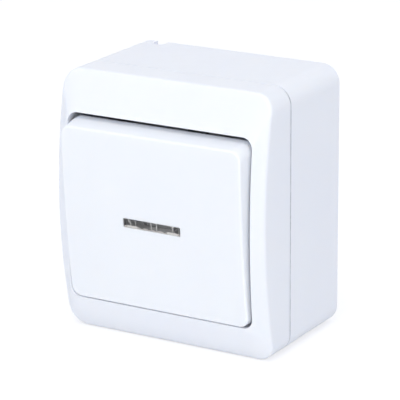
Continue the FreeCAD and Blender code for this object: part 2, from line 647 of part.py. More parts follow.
def back_box():
    """Deep box with wall slots, posts, snap recesses, a cable entry and a rear notch."""
    body = new_body("back_box")
    outline = new_sketch(body, "outline", "front")
    rounded(outline, "box_width / 2", "box_height / 2", "corner_radius")
    pad(outline, "box_rim")
    fillet(body, edges_where(body.Shape, lambda spot, box: box.YMin > -LEVEL), "rear_round")
    front = -value("box_rim")
    fillet(body, edges_where(body.Shape, lambda spot, box: box.YMax < front + LEVEL), "seam_round")
    hollow = new_sketch(body, "hollow", "front", "box_rim")
    inner = ("box_width / 2 - shell_wall", "box_height / 2 - shell_wall", "corner_radius - shell_wall")
    rounded(hollow, *inner)
    pocket(hollow, "box_rim - back_wall")
    tongue = new_sketch(body, "tongue", "front", "box_rim - root")
    step = "shell_wall - tongue_wall"
    rounded(tongue, f"box_width / 2 - ({step})", f"box_height / 2 - ({step})", f"corner_radius - ({step})")
    rounded(tongue, *inner)
    pad(tongue, "tongue_height + root")

    posts = new_sketch(body, "posts", "front", "back_wall - root")
    for sign in ("", "-"):
        circle(posts, "0", f"centre_height + {sign}post_pitch / 2", "post_radius")
    pad(posts, "post_depth - back_wall + root")
    bores = new_sketch(body, "bores", "front", "post_depth")
    for sign in ("", "-"):
        circle(bores, "0", f"centre_height + {sign}post_pitch / 2", "mech_screw_radius + screw_clearance")
    pocket(bores, "post_depth - mech_screw_tip + mech_tip_gap")

    slots = new_sketch(body, "wall_slots", "front", "back_wall")
    run = "(wall_hole_length - wall_hole_width) / 2"
    for i, j in CORNERS:
        x = f"{i} * wall_hole_pitch_x / 2"
        level = f"{j} * wall_hole_pitch_z / 2"
        slot(slots, (f"{x} - {run}", level), (f"{x} + {run}", level), "wall_hole_width / 2")
    pocket(slots, "back_wall + cut_over")

    wall_x = "box_width / 2 - shell_wall"
    floor_x = f"{wall_x} - hook_clearance + hook_nose + recess_clearance"
    for name, level in (("upper", "centre_height + hook_height"), ("lower", "centre_height - hook_height")):
        recesses = new_sketch(body, f"recesses_{name}", "plan", level)
        for sign in ("", "-"):
            rectangle(
                recesses,
                f"{sign}({wall_x} - cut_over)",
                f"{sign}({floor_x})",
                "-(hook_nose_depth - hook_nose_length - recess_clearance)",
                "-(hook_nose_depth + recess_clearance)",
            )
        pocket(recesses, "hook_width + 2 * recess_clearance", middle=True)

    shroud = new_sketch(body, "notch_pocket", "plan", "box_height / 2 - notch_height - notch_wall")
    rectangle(
        shroud,
        "-(notch_left + notch_wall)",
        "-(notch_left - notch_width - notch_wall)",
        "-(notch_length + notch_wall)",
        "-(back_wall - root)",
    )
    pad(shroud, "notch_height + notch_wall - shell_wall + root")
    notch = new_sketch(body, "notch", "plan", "box_height / 2 + cut_over")
    middle = "-(notch_left - notch_width / 2)"
    slot(notch, (middle, "-(notch_length - notch_width / 2)"), (middle, "cut_over"), "notch_width / 2")
    pocket(notch, "notch_height + cut_over")

    entry = new_sketch(body, "entry", "plan", "-box_height / 2")
    circle(entry, "0", "-entry_depth", "entry_radius")
    pocket(entry, "shell_wall + cut_over", flip=True)
    seat = new_sketch(body, "entry_seat", "plan", "-box_height / 2")
    circle(seat, "0", "-entry_depth", "entry_flange")
    pocket(seat, "entry_flange_wall", flip=True)
    return body


def housing_gasket():
    """Flat seal on the rim of the box, seen as the dark line between the shells."""
    body = new_body("housing_gasket")
    ring = new_sketch(body, "ring", "front", "box_rim")
    inset = "shell_wall - tongue_wall - seal_inset"
    for edge in (f"{inset} - seal_width", inset):
        rounded(ring, f"box_width / 2 - ({edge})", f"box_height / 2 - ({edge})", f"corner_radius - ({edge})")
    pad(ring, "seam_gap")
    return body


def cable_grommet():
    """Rubber grommet with a closed stepped sleeve, flush with the bottom wall."""
    body = new_body("cable_grommet", depth="entry_depth", height="-box_height / 2")
    section = new_sketch(body, "section", "front")
    neck = "entry_radius - entry_clearance"
    flange = "entry_flange - entry_clearance"
    inner_top = "shell_wall + entry_flange_wall"
    sleeve_top = f"{inner_top} + grommet_step_height"
    points = [
        ("0", f"{sleeve_top} - grommet_wall"),
        ("grommet_step_radius - grommet_wall", f"{sleeve_top} - grommet_wall"),
        ("grommet_step_radius - grommet_wall", "entry_flange_wall"),
        (f"{neck} - grommet_wall", "0"),
        (flange, "0"),
        (flange, "entry_flange_wall"),
        (neck, "entry_flange_wall"),
        (neck, "shell_wall"),
        (flange, "shell_wall"),
        (flange, inner_top),
        ("grommet_step_radius + grommet_flare", inner_top),
        ("grommet_step_radius", sleeve_top),
        ("0", sleeve_top),
    ]
    polygon(section, points)
    turned(section)
    return body


# Switching mechanism


def mechanism_base():
    """Moulded base: contact chamber, two terminal chambers and the channels between them."""
    body = mechanism_body("mechanism_base")
    block = new_sketch(body, "block", "front", "post_depth")
    rounded(block, "base_width / 2", "base_height / 2", "base_corner")
    pad(block, "base_front - post_depth")
    chamber = new_sketch(body, "chamber", "front", "base_front")
    rounded(chamber, "chamber_width / 2", "chamber_height / 2", "base_corner")
    pocket(chamber, "base_front - strip_depth")
    strip = "strip_width / 2 + strip_clearance"
    for name, sign in (("left", "-"), ("right", "")):
        clamp = new_sketch(body, f"clamp_room_{name}", "front", "base_front")
        rectangle(
            clamp,
            f"{sign}terminal_x - clamp_width / 2 - strip_clearance",
            f"{sign}terminal_x + clamp_width / 2 + strip_clearance",
            "-(terminal_drop + clamp_length / 2 + strip_clearance)",
            "-(terminal_drop - clamp_length / 2 - strip_clearance)",
        )
        pocket(clamp, "base_front - strip_depth + clamp_wall")
        leg = new_sketch(body, f"leg_channel_{name}", "front", "base_front")
        rectangle(
            leg, f"{sign}terminal_x - ({strip})", f"{sign}terminal_x + {strip}", "-terminal_drop", strip
        )
        pocket(leg, "base_front - strip_depth")
        tab = new_sketch(body, f"tab_channel_{name}", "front", "base_front")
        near = f"{sign}(terminal_x - cut_over)"
        far = f"{sign}(lamp_tab + strip_clearance)"
        rectangle(tab, near, far, f"-({strip})", strip)
        pocket(tab, "base_front - strip_depth")
    fulcrum = new_sketch(body, "fulcrum_channel", "front", "base_front")
    rectangle(fulcrum, "-(terminal_x - cut_over)", "-(chamber_width / 2 - cut_over)", f"-({strip})", strip)
    pocket(fulcrum, "base_front - strip_depth")
    contact = new_sketch(body, "contact_channel", "front", "base_front")
    rectangle(
        contact,
        "chamber_width / 2 - cut_over",
        "terminal_x - cut_over",
        f"-contact_offset - ({strip})",
        f"-contact_offset + {strip}",
    )
    pocket(contact, "base_front - strip_depth")
    wires = new_sketch(body, "wire_holes", "plan", "-base_height / 2")
    for sign in ("-", ""):
        circle(wires, f"{sign}terminal_x", "-(strip_depth + strip_wall + wire_hole_radius)", "wire_hole_radius")
    pocket(wires, "base_height / 2 - terminal_drop - clamp_length / 2", flip=True)
    screws = new_sketch(body, "screw_holes", "front", "base_front")
    for sign in ("", "-"):
        circle(screws, "0", f"{sign}post_pitch / 2", "mech_screw_radius + screw_clearance")
    pocket(screws, "base_front - post_depth + cut_over")
    return body


def mechanism_frame():
    """Plate over the base, with two bearing ears for the rocker's axis."""
    body = mechanism_body("mechanism_frame")
    plate = new_sketch(body, "plate", "front", "base_front")
    rounded(plate, "base_width / 2", "base_height / 2", "base_corner")
    pad(plate, "frame_wall")
    holes = new_sketch(body, "holes", "front", "base_front + frame_wall")
    circle(holes, "0", "0", "plunger_window")
    for sign in ("", "-"):
        circle(holes, "0", f"{sign}post_pitch / 2", "mech_screw_radius + screw_clearance")
        circle(holes, f"{sign}terminal_x", "-terminal_drop", "terminal_head_radius + strip_clearance")
        circle(holes, f"{sign}lead_x", "0", "lead_radius + lead_clearance")
    pocket(holes, "frame_wall + cut_over")
    profile = [
        ("-(base_front + frame_wall - root)", "-ear_width / 2"),
        ("-(base_front + frame_wall - root)", "ear_width / 2"),
        ("-(pivot_depth - ear_shoulder)", "ear_top_width / 2"),
        ("-ear_top", "ear_top_width / 2"),
        ("-ear_top", "tenon_width / 2"),
        ("-(ear_top + tenon_height)", "tenon_width / 2"),
        ("-(ear_top + tenon_height)", "-tenon_width / 2"),
        ("-ear_top", "-tenon_width / 2"),
        ("-ear_top", "-ear_top_width / 2"),
        ("-(pivot_depth - ear_shoulder)", "-ear_top_width / 2"),
    ]
    for name, start in (("left", "-(ear_inner + ear_wall)"), ("right", "ear_inner")):
        ear = new_sketch(body, f"ear_{name}", "side", start)
        polygon(ear, profile)
        pad(ear, "ear_wall")
    bearing = new_sketch(body, "bearings", "side")
    circle(bearing, "-pivot_depth", "0", "pivot_radius + pivot_clearance")
    pocket(bearing, "2 * (ear_inner + ear_wall + cut_over)", middle=True)
    return body


def mechanism_screws():
    """Two slotted screws that hold frame and base on the posts of the box."""
    body = mechanism_body("mechanism_screws")
    seat = "base_front + frame_wall"
    heads = new_sketch(body, "heads", "front", seat)
    shanks = new_sketch(body, "shanks", "front", "mech_screw_tip")
    slots = new_sketch(body, "slots", "front", f"{seat} + mech_head_height")
    for sign in ("", "-"):
        circle(heads, "0", f"{sign}post_pitch / 2", "mech_head_radius")
        circle(shanks, "0", f"{sign}post_pitch / 2", "mech_screw_radius")
        rectangle(
            slots,
            "-(mech_head_radius + cut_over)",
            "mech_head_radius + cut_over",
            f"{sign}post_pitch / 2 - screw_slot / 2",
            f"{sign}post_pitch / 2 + screw_slot / 2",
        )
    pad(heads, "mech_head_height")
    pad(shanks, f"{seat} - mech_screw_tip + root")
    pocket(slots, "mech_head_height / 2")
    return body


def common_terminal():
    """Strip from the left clamp to the edge on which the lever rocks."""
    body = mechanism_body("common_terminal")
    half = "strip_width / 2"
    strip = new_sketch(body, "strip", "front", "strip_depth")
    reach = "lever_width / 2 + strip_overhang"
    points = [
        ("-lamp_tab", f"-{half}"),
        (f"-(terminal_x + {half})", f"-{half}"),
        (f"-(terminal_x + {half})", "-(terminal_drop + clamp_length / 2)"),
        (f"-(terminal_x - {half})", "-(terminal_drop + clamp_length / 2)"),
        (f"-(terminal_x - {half})", f"-{half}"),
        (reach, f"-{half}"),
        (reach, half),
        ("-lamp_tab", half),
    ]
    polygon(strip, points)
    pad(strip, "strip_wall")
    edge = new_sketch(body, "edge", "side")
    top = "strip_depth + strip_wall"
    foot = "lever_notch_height / 2"
    polygon(edge, [(f"-({top} - root)", f"-{foot}"), (f"-({top} - root)", foot), ("-fulcrum_depth", "0")])
    pad(edge, "lever_width - 2 * lever_notch", middle=True)
    stops = new_sketch(body, "stops", "front", f"{top} - root")
    for sign in ("", "-"):
        inner = f"{sign}(lever_width / 2 - lever_notch + stop_clearance)"
        outer = f"{sign}(lever_width / 2 - stop_inset)"
        rectangle(stops, inner, outer, "-stop_wall / 2", "stop_wall / 2")
    pad(stops, f"fulcrum_depth + strip_wall + stop_reach - ({top} - root)")
    return body


def switched_terminal():
    """Strip from the right clamp to the fixed contact, with its hole for the rivet."""
    body = mechanism_body("switched_terminal")
    half = "strip_width / 2"
    strip = new_sketch(body, "strip", "front", "strip_depth")
    points = [
        (f"-{half}", f"-contact_offset - {half}"),
        (f"terminal_x - {half}", f"-contact_offset - {half}"),
        (f"terminal_x - {half}", "-(terminal_drop + clamp_length / 2)"),
        (f"terminal_x + {half}", "-(terminal_drop + clamp_length / 2)"),
        (f"terminal_x + {half}", f"-{half}"),
        ("lamp_tab", f"-{half}"),
        ("lamp_tab", half),
        (f"terminal_x - {half}", half),
        (f"terminal_x - {half}", f"-contact_offset + {half}"),
        (f"-{half}", f"-contact_offset + {half}"),
    ]
    polygon(strip, points)
    pad(strip, "strip_wall")
    hole = new_sketch(body, "rivet_hole", "front", "strip_depth + strip_wall")
    circle(hole, "0", "-contact_offset", "contact_shank + screw_clearance")
    pocket(hole, "strip_wall + cut_over")
    return body


def fixed_contact_rivet():
    """Silver rivet in the switched strip."""
    body = mechanism_body("fixed_contact_rivet")
    seat = "strip_depth + strip_wall"
    shank = new_sketch(body, "shank", "front", "strip_depth")
    circle(shank, "0", "-contact_offset", "contact_shank")
    pad(shank, "strip_wall + root")
    head = new_sketch(body, "head", "front", seat)
    circle(head, "0", "-contact_offset", "contact_radius")
    swing = "contact_offset * sin(lever_tilt * 1deg)"
    closed = f"fulcrum_depth + fulcrum_clearance - contact_head - {swing}"
    pad(head, f"{closed} - contact_gap - ({seat})")
    return body


def terminal_clamp(name, sign):
    """Square cage round the strip's end, drawn up by its screw."""
    body = mechanism_body(name)
    rear = "strip_depth - clamp_wall"
    outer = new_sketch(body, "outer", "plan", "-(terminal_drop + clamp_length / 2)")
    rectangle(
        outer,
        f"{sign}terminal_x - clamp_width / 2",
        f"{sign}terminal_x + clamp_width / 2",
        f"-({rear} + clamp_height)",
        f"-({rear})",
    )
    pad(outer, "clamp_length")
    tunnel = new_sketch(body, "tunnel", "plan", "-(terminal_drop - clamp_length / 2)")
    rectangle(
        tunnel,
        f"{sign}terminal_x - clamp_width / 2 + clamp_wall",
        f"{sign}terminal_x + clamp_width / 2 - clamp_wall",
        f"-({rear} + clamp_height - clamp_thread_wall)",
        "-strip_depth",
    )
    pocket(tunnel, "clamp_length + cut_over")
    thread = new_sketch(body, "thread", "front", f"{rear} + clamp_height")
    circle(thread, f"{sign}terminal_x", "-terminal_drop", "terminal_screw_radius + screw_clearance")
    pocket(thread, "clamp_thread_wall + root")
    return body


def terminal_screws():
    """Two slotted clamp screws, opened for the wires."""
    body = mechanism_body("terminal_screws")
    seat = "strip_depth - clamp_wall + clamp_height + terminal_head_gap"
    heads = new_sketch(body, "heads", "front", seat)
    shanks = new_sketch(body, "shanks", "front", f"{seat} - terminal_screw_length")
    slots = new_sketch(body, "slots", "front", f"{seat} + terminal_head_height")
    for sign in ("-", ""):
        circle(heads, f"{sign}terminal_x", "-terminal_drop", "terminal_head_radius")
        circle(shanks, f"{sign}terminal_x", "-terminal_drop", "terminal_screw_radius")
        rectangle(
            slots,
            f"{sign}terminal_x - terminal_head_radius - cut_over",
            f"{sign}terminal_x + terminal_head_radius + cut_over",
            "-terminal_drop - screw_slot / 2",
            "-terminal_drop + screw_slot / 2",
        )
    pad(heads, "terminal_head_height")
    pad(shanks, "terminal_screw_length + root")
    pocket(slots, "terminal_head_height / 2")
    return body


def contact_lever():
    """Flat lever, notched at its pivot, with a hole for its contact."""
    body = lever_body("contact_lever")
    blade = new_sketch(body, "blade", "front", "fulcrum_clearance")
    waist = "lever_width / 2 - lever_notch"
    side = "lever_width / 2"
    end = "lever_length / 2"
    step = "lever_notch_height / 2"
    points = [
        (f"-{side}", f"-{end}"),
        (side, f"-{end}"),
        (side, f"-{step}"),
        (waist, f"-{step}"),
        (waist, step),
        (side, step),
        (side, end),
        (f"-{side}", end),
        (f"-{side}", step),
        (f"-({waist})", step),
        (f"-({waist})", f"-{step}"),
        (f"-{side}", f"-{step}"),
    ]
    polygon(blade, points)
    pad(blade, "strip_wall")
    hole = new_sketch(body, "rivet_hole", "front", "fulcrum_clearance + strip_wall")
    circle(hole, "0", "-contact_offset", "contact_shank + screw_clearance")
    pocket(hole, "strip_wall + cut_over")
    return body


def moving_contact_rivet():
    """Silver rivet on the wall side of the lever, its shank headed over in front."""
    body = lever_body("moving_contact_rivet")
    head = new_sketch(body, "head", "front", "fulcrum_clearance - contact_head")
    circle(head, "0", "-contact_offset", "contact_radius")
    pad(head, "contact_head")
    shank = new_sketch(body, "shank", "front", "fulcrum_clearance - root")
    circle(shank, "0", "-contact_offset", "contact_shank")
    pad(shank, "strip_wall + 2 * root")
    button = new_sketch(body, "button", "front", "fulcrum_clearance + strip_wall")
    circle(button, "0", "-contact_offset", "contact_radius - contact_button")
    pad(button, "contact_button")
    return body


# Rocker and what moves with it, in a frame on the rocker's axis


def rocker_key():
    """Hollow key with leaning walls, a crowned face and ribs that hold the cradle."""
    body = rocker_body("rocker_key")
    half_x = "opening_width / 2 - rocker_side_gap"
    half_z = "opening_height / 2 - rocker_end_gap"
    rear = "rocker_rear - pivot_depth"
    front = "rocker_front - pivot_depth"
    rim = new_sketch(body, "rim", "front", rear)
    rounded(rim, half_x, half_z, "rocker_corner")
    top = new_sketch(body, "top", "front", f"{front} + cut_over")
    rounded(top, f"{half_x} - rocker_side_slant", f"{half_z} - rocker_end_slant", "rocker_corner")
    shell = body.newObject("PartDesign::AdditiveLoft", "rocker_shell")
    shell.Profile = rim
    shell.Sections = [top]
    shell.Ruled = True
    doc.recompute()

    face = new_sketch(body, "face", "side")
    reach = f"({half_z} + cut_over)"
    edge = f"-({front} - rocker_crown + sqrt(rocker_crown ^ 2 - {reach} ^ 2))"
    beyond = f"-({front} + 2 * cut_over)"
    points = [(edge, f"-{reach}"), (edge, reach), (beyond, reach), (beyond, f"-{reach}")]
    polygon(face, points, arcs=[(0, "rocker_crown", -1)])
    pocket(face, "opening_width", middle=True)
    behind = value(edge) + LEVEL
    fillet(body, edges_where(body.Shape, lambda spot, box: box.YMax < behind), "rocker_round")

    inner_front = "rocker_inside - pivot_depth"
    hollow = new_sketch(body, "hollow", "front", rear)
    rounded(hollow, f"{half_x} - rocker_wall", f"{half_z} - rocker_wall", "rocker_corner - rocker_wall / 2")
    pocket(hollow, f"{inner_front} - ({rear})", flip=True)
    for sign in ("", "-"):
        name = "upper" if sign == "" else "lower"
        ribs = new_sketch(body, f"ribs_{name}", "front", f"{inner_front} - clip_rib_height")
        wing = "wing_reach - upright_wall - clip_clearance"
        for low, high in (
            (f"{wing} - clip_rib_wall", wing),
            ("wing_reach + clip_clearance", "wing_reach + clip_clearance + clip_rib_wall"),
        ):
            side = "wing_width / 2 + clip_rib_over"
            rectangle(ribs, f"-({side})", side, f"{sign}({low})", f"{sign}({high})")
        pad(ribs, "clip_rib_height + root")
    grooves = new_sketch(body, "bead_grooves", "side")
    for sign in ("", "-"):
        height = f"{sign}(wing_reach + clip_clearance - bead_sink)"
        circle(grooves, "-(upright_end - bead_setback)", height, "bead_radius + clip_clearance")
    pocket(grooves, "wing_width + 2 * clip_rib_over + cut_over", middle=True)
    window = new_sketch(body, "window", "front", f"{front} + cut_over")
    rounded(window, "lens_width / 2", "lens_height / 2", "lens_corner")
    pocket(window, "rocker_face_wall + 2 * cut_over")
    return body


def indicator_lens():
    """Clear bar lens with a flange behind the rocker's wall."""
    body = rocker_body("indicator_lens")
    foot = new_sketch(body, "foot", "front", "foot_depth - pivot_depth")
    wide = "lens_width / 2 + lens_foot"
    rounded(foot, wide, "lens_height / 2 + lens_foot", "2 * lens_corner")
    pad(foot, "lens_foot_wall")
    bar = new_sketch(body, "bar", "front", "rocker_inside - pivot_depth - root")
    rounded(
        bar,
        "lens_width / 2 - lens_clearance",
        "lens_height / 2 - lens_clearance",
        "lens_corner - lens_clearance",
    )
    pad(bar, "rocker_face_wall - lens_recess + root")
    return body


def rocker_cradle():
    """Pivoting carrier: bar with pins, plunger guide, wings and clip uprights."""
    body = rocker_body("rocker_cradle")
    bar = new_sketch(body, "bar", "front", "-bar_rear")
    rounded(bar, "bar_width / 2", "bar_height / 2", "soft_corner")
    pad(bar, "bar_rear + bar_front")
    pins = new_sketch(body, "pins", "side")
    circle(pins, "0", "0", "pivot_radius")
    pad(pins, "2 * (ear_inner + ear_wall + pin_overhang)", middle=True)
    wings = new_sketch(body, "wings", "front", "bar_front - wing_wall")
    rounded(wings, "wing_width / 2", "wing_reach", "soft_corner")
    pad(wings, "wing_wall")
    for name, sign in (("upper", ""), ("lower", "-")):
        upright = new_sketch(body, f"upright_{name}", "front", "bar_front - root")
        rectangle(
            upright,
            "-wing_width / 2",
            "wing_width / 2",
            f"{sign}(wing_reach - upright_wall)",
            f"{sign}wing_reach",
        )
        pad(upright, "upright_end - bar_front + root")
    beads = new_sketch(body, "beads", "side")
    for sign in ("", "-"):
        circle(beads, "-(upright_end - bead_setback)", f"{sign}(wing_reach - bead_sink)", "bead_radius")
    pad(beads, "wing_width - 2 * bead_inset", middle=True)
    boss = new_sketch(body, "boss", "front", "-boss_rear")
    circle(boss, "0", "0", "boss_radius")
    pad(boss, "boss_rear - bar_rear + root")
    bore = new_sketch(body, "bore", "front", "-boss_rear")
    circle(bore, "0", "0", "plunger_radius + plunger_clearance")
    pocket(bore, "boss_rear - bore_end", flip=True)
    return body


def plunger_pin():
    """Round-nosed pin that slides in the cradle and presses on the lever."""
    body = rocker_body("plunger_pin")
    section = new_sketch(body, "section", "plan")
    tip = "pivot_depth - (fulcrum_depth + fulcrum_clearance + strip_wall + plunger_gap)"
    shoulder = "plunger_shoulder"
    points = [
        ("0", tip),
        ("plunger_radius", f"{tip} - plunger_radius"),
        ("plunger_radius", shoulder),
        ("plunger_pilot", shoulder),
        ("plunger_pilot", f"{shoulder} - plunger_pilot_length"),
        ("0", f"{shoulder} - plunger_pilot_length"),
    ]
    polygon(section, points, arcs=[(0, "plunger_radius", 1)])
    turned(section)
    return body


def plunger_spring():
    """Round wire spring between the plunger's shoulder and the end of the guide."""
    wire = value("spring_wire")
    start = value("bore_end + spring_clearance") + wire
    stop = value("plunger_shoulder - spring_clearance") - wire
    turns = value("spring_turns")
    radius = value("spring_radius")
    helix = Part.makeHelix((stop - start) / turns, stop - start, radius)
    ring = Part.Wire(Part.makeCircle(wire, FreeCAD.Vector(radius, 0, 0), FreeCAD.Vector(0, 1, 0)))
    coil = Part.Wire(helix.Edges).makePipeShell([ring], True, True)
    spring = doc.addObject("Part::Feature", "plunger_spring")
    spring.Label = "plunger_spring"
    spring.Shape = coil
    across = FreeCAD.Vector(1, 0, 0)
    axis = FreeCAD.Vector(0, -value("pivot_depth"), value("centre_height"))
    tilt = FreeCAD.Placement(axis, FreeCAD.Rotation(across, value("rest_tilt")))
    lying = FreeCAD.Placement(FreeCAD.Vector(0, start, 0), FreeCAD.Rotation(across, -90))
    spring.Placement = tilt.multiply(lying)
    return spring


# Indicator lamp


def lamp_bridge():
    """Bridge on the ears' tenons, with two cheeks that hold the lamp."""
    body = mechanism_body("lamp_bridge")
    plate = new_sketch(body, "plate", "front", "ear_top")
    rounded(plate, "ear_inner + ear_wall", "bridge_height / 2", "soft_corner")
    pad(plate, "bridge_wall")
    tenons = new_sketch(body, "tenon_slots", "front", "ear_top + bridge_wall")
    for sign in ("", "-"):
        rectangle(
            tenons,
            f"{sign}(ear_inner - tenon_clearance)",
            f"{sign}(ear_inner + ear_wall + cut_over)",
            "-(tenon_width / 2 + tenon_clearance)",
            "tenon_width / 2 + tenon_clearance",
        )
    pocket(tenons, "bridge_wall + cut_over")
    cheeks = new_sketch(body, "cheeks", "side")
    for sign in ("", "-"):
        near = f"{sign}(lamp_radius + lamp_clearance)"
        far = f"{sign}(lamp_radius + lamp_clearance + lamp_cheek)"
        rectangle(cheeks, "-lamp_depth", "-(ear_top + bridge_wall - root)", near, far)
    pad(cheeks, "lamp_length - 2 * cheek_inset", middle=True)
    return body


def neon_lamp():
    """Sealed glass lamp with domed ends, lying along X behind the lens."""
    body = new_body("neon_lamp", depth="lamp_depth", height="centre_height")
    section = new_sketch(body, "section", "plan")
    dome = "lamp_length / 2 - lamp_dome"
    points = [
        ("-lamp_length / 2", "0"),
        (f"-({dome})", "-lamp_radius"),
        (dome, "-lamp_radius"),
        ("lamp_length / 2", "0"),
    ]
    spread = "((lamp_radius ^ 2 + lamp_dome ^ 2) / (2 * lamp_dome))"
    polygon(section, points, arcs=[(0, spread, 1), (2, spread, 1)])
    turned(section, axis="H_Axis")
    return body


def lamp_lead(name, side):
    """Wire from one end of the lamp, out past the ear and down to its strip or the resistor."""
    body = mechanism_body(name)
    route = new_sketch(body, "route", "plan")
    lamp_end = f"{side} * lamp_length / 2"
    drop_x = f"{side} * lead_x"
    foot = "strip_depth + strip_wall" if side > 0 else "resistor_depth + resistor_length / 2"
    bend = value("lead_bend")
    corner = FreeCAD.Vector(value(drop_x), -value("lamp_depth"), 0)
    start = FreeCAD.Vector(value(lamp_end), corner.y, 0)
    stop = FreeCAD.Vector(corner.x, -value(foot), 0)
    before = corner - FreeCAD.Vector(side * bend, 0, 0)
    after = corner + FreeCAD.Vector(0, bend, 0)
    route.addGeometry(Part.LineSegment(start, before), False)
    route.addGeometry(bulging_arc(before, after, bend, side), False)
    route.addGeometry(Part.LineSegment(after, stop), False)
    first, last = (1, 2) if side > 0 else (2, 1)
    route.addConstraint(Sketcher.Constraint("Tangent", 0, 2, 1, first))
    route.addConstraint(Sketcher.Constraint("Tangent", 1, last, 2, 1))
    route.addConstraint(Sketcher.Constraint("Horizontal", 0))
    route.addConstraint(Sketcher.Constraint("Vertical", 2))
    place_point(route, 0, 1, lamp_end, "-lamp_depth")
    place_point(route, 2, 2, drop_x, f"-({foot})")
    tie(route, "Radius", 1, size="lead_bend")
    ring = new_sketch(body, "section", "side", lamp_end)
    circle(ring, "-lamp_depth", "0", "lead_radius")
    doc.recompute()
    pipe = body.newObject("PartDesign::AdditivePipe", f"{name}_pipe")
    pipe.Profile = ring
    pipe.Spine = (route, ["Edge1", "Edge2", "Edge3"])
    doc.recompute()
    return body


def lamp_resistor():
    """Small axial resistor in the left lead, with its own wire down to the common strip."""
    body = mechanism_body("lamp_resistor")
    tail = new_sketch(body, "tail", "front", "strip_depth + strip_wall")
    circle(tail, "-lead_x", "0", "lead_radius")
    rear = "resistor_depth - resistor_length / 2"
    pad(tail, f"{rear} - (strip_depth + strip_wall) + root")
    core = new_sketch(body, "core", "front", rear)
    circle(core, "-lead_x", "0", "resistor_radius - resistor_waist")
    pad(core, "resistor_length")
    for name, start in (("rear_cap", rear), ("front_cap", f"{rear} + resistor_length - resistor_cap")):
        cap = new_sketch(body, name, "front", start)
        circle(cap, "-lead_x", "0", "resistor_radius")
        pad(cap, "resistor_cap")
    return body


parts = [
    back_box(),
    front_cover(),
    housing_gasket(),
    cable_grommet(),
    mechanism_base(),
    mechanism_frame(),
    mechanism_screws(),
    common_terminal(),
    switched_terminal(),
    fixed_contact_rivet(),
    terminal_clamp("common_clamp", "-"),
    terminal_clamp("switched_clamp", ""),
    terminal_screws(),
    contact_lever(),
    moving_contact_rivet(),
    rocker_key(),
    indicator_lens(),
    rocker_cradle(),
    plunger_pin(),
    plunger_spring(),
    lamp_bridge(),
    neon_lamp(),
    lamp_lead("lamp_lead_right", 1),
    lamp_lead("lamp_lead_left", -1),
    lamp_resistor(),
]
doc.recompute()

for one in doc.Objects:
    if "Invalid" in one.State or "Error" in one.State:
        raise ValueError(f"{one.Name} is {one.State}")
for part in parts:
    if part.Shape.isNull() or not part.Shape.isValid() or part.Shape.Volume <= 0:
        raise ValueError(f"{part.Label} has no valid solid")

os.makedirs("parts", exist_ok=True)
for part in parts:
    part.Shape.exportStep(f"parts/{part.Label}.step")
    print(f"{part.Label:24s} solids {len(part.Shape.Solids)} volume {part.Shape.Volume:9.2f}")
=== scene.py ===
import json
import math

import bmesh
import bpy
from mathutils import Matrix, Vector


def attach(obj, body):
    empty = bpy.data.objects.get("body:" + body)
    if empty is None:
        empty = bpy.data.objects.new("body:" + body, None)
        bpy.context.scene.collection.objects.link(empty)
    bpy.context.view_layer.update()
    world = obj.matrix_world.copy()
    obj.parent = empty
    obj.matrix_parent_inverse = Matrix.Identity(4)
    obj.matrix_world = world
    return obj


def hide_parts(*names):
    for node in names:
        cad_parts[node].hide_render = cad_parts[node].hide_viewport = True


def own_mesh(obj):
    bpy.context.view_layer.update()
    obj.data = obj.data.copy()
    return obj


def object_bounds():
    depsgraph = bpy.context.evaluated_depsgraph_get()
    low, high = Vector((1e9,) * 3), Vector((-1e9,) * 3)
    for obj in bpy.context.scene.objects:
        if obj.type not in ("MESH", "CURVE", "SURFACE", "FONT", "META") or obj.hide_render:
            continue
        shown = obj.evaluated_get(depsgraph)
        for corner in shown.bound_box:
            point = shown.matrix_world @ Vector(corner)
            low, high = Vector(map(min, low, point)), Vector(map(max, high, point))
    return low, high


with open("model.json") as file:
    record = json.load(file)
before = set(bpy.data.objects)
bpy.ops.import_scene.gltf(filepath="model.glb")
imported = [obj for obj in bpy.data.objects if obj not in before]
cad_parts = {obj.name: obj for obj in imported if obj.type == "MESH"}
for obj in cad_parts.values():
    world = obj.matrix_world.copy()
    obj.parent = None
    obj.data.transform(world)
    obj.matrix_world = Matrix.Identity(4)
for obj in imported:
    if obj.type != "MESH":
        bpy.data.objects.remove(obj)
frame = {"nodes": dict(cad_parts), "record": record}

# Surface mounted light switch: finishes of its moulded, turned and stamped parts, the clear lens bar
# with the ribs and the ledge inside it, the key's rear edge, the plunger's coil, soft studio light
# and the camera.
# Everything is in metres, in the frame of the solids. The wall lies at y = 0, the front looks along -Y.

MM = 0.001
cad_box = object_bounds()
nodes = frame["nodes"]
scene = bpy.context.scene


# Nodes of a finish


def plug(tree, socket, source):
    """Feeds a socket from another socket, or sets its number or colour."""
    if isinstance(source, bpy.types.NodeSocket):
        tree.links.new(source, socket)
    else:
        socket.default_value = source


def add_node(tree, kind, settings=None, **sockets):
    """A node with its settings, and a number, colour or link for each socket that is named."""
    node = tree.nodes.new(kind)
    for name, setting in (settings or {}).items():
        setattr(node, name, setting)
    for name, source in sockets.items():
        plug(tree, node.inputs[name.replace("_", " ")], source)
    return node


def maths(tree, operation, *values, clamp=False):
    """Result of one operation on numbers or sockets."""
    node = tree.nodes.new("ShaderNodeMath")
    node.operation = operation
    node.use_clamp = clamp
    for socket, source in zip(node.inputs, values):
        plug(tree, socket, source)
    return node.outputs[0]


def blended(tree, share, low, high):
    """Colour between low and high."""
    node = tree.nodes.new("ShaderNodeMix")
    node.data_type = "RGBA"
    plug(tree, node.inputs["Factor"], share)
    plug(tree, node.inputs[6], low)
    plug(tree, node.inputs[7], high)
    return node.outputs[2]


def ramped(tree, source, low, high, to_low=0.0, to_high=1.0):
    """Value moved from the range low to high into the range to_low to to_high."""
    node = tree.nodes.new("ShaderNodeMapRange")
    for socket, number in zip(node.inputs, (source, low, high, to_low, to_high)):
        plug(tree, socket, number)
    return node.outputs[0]


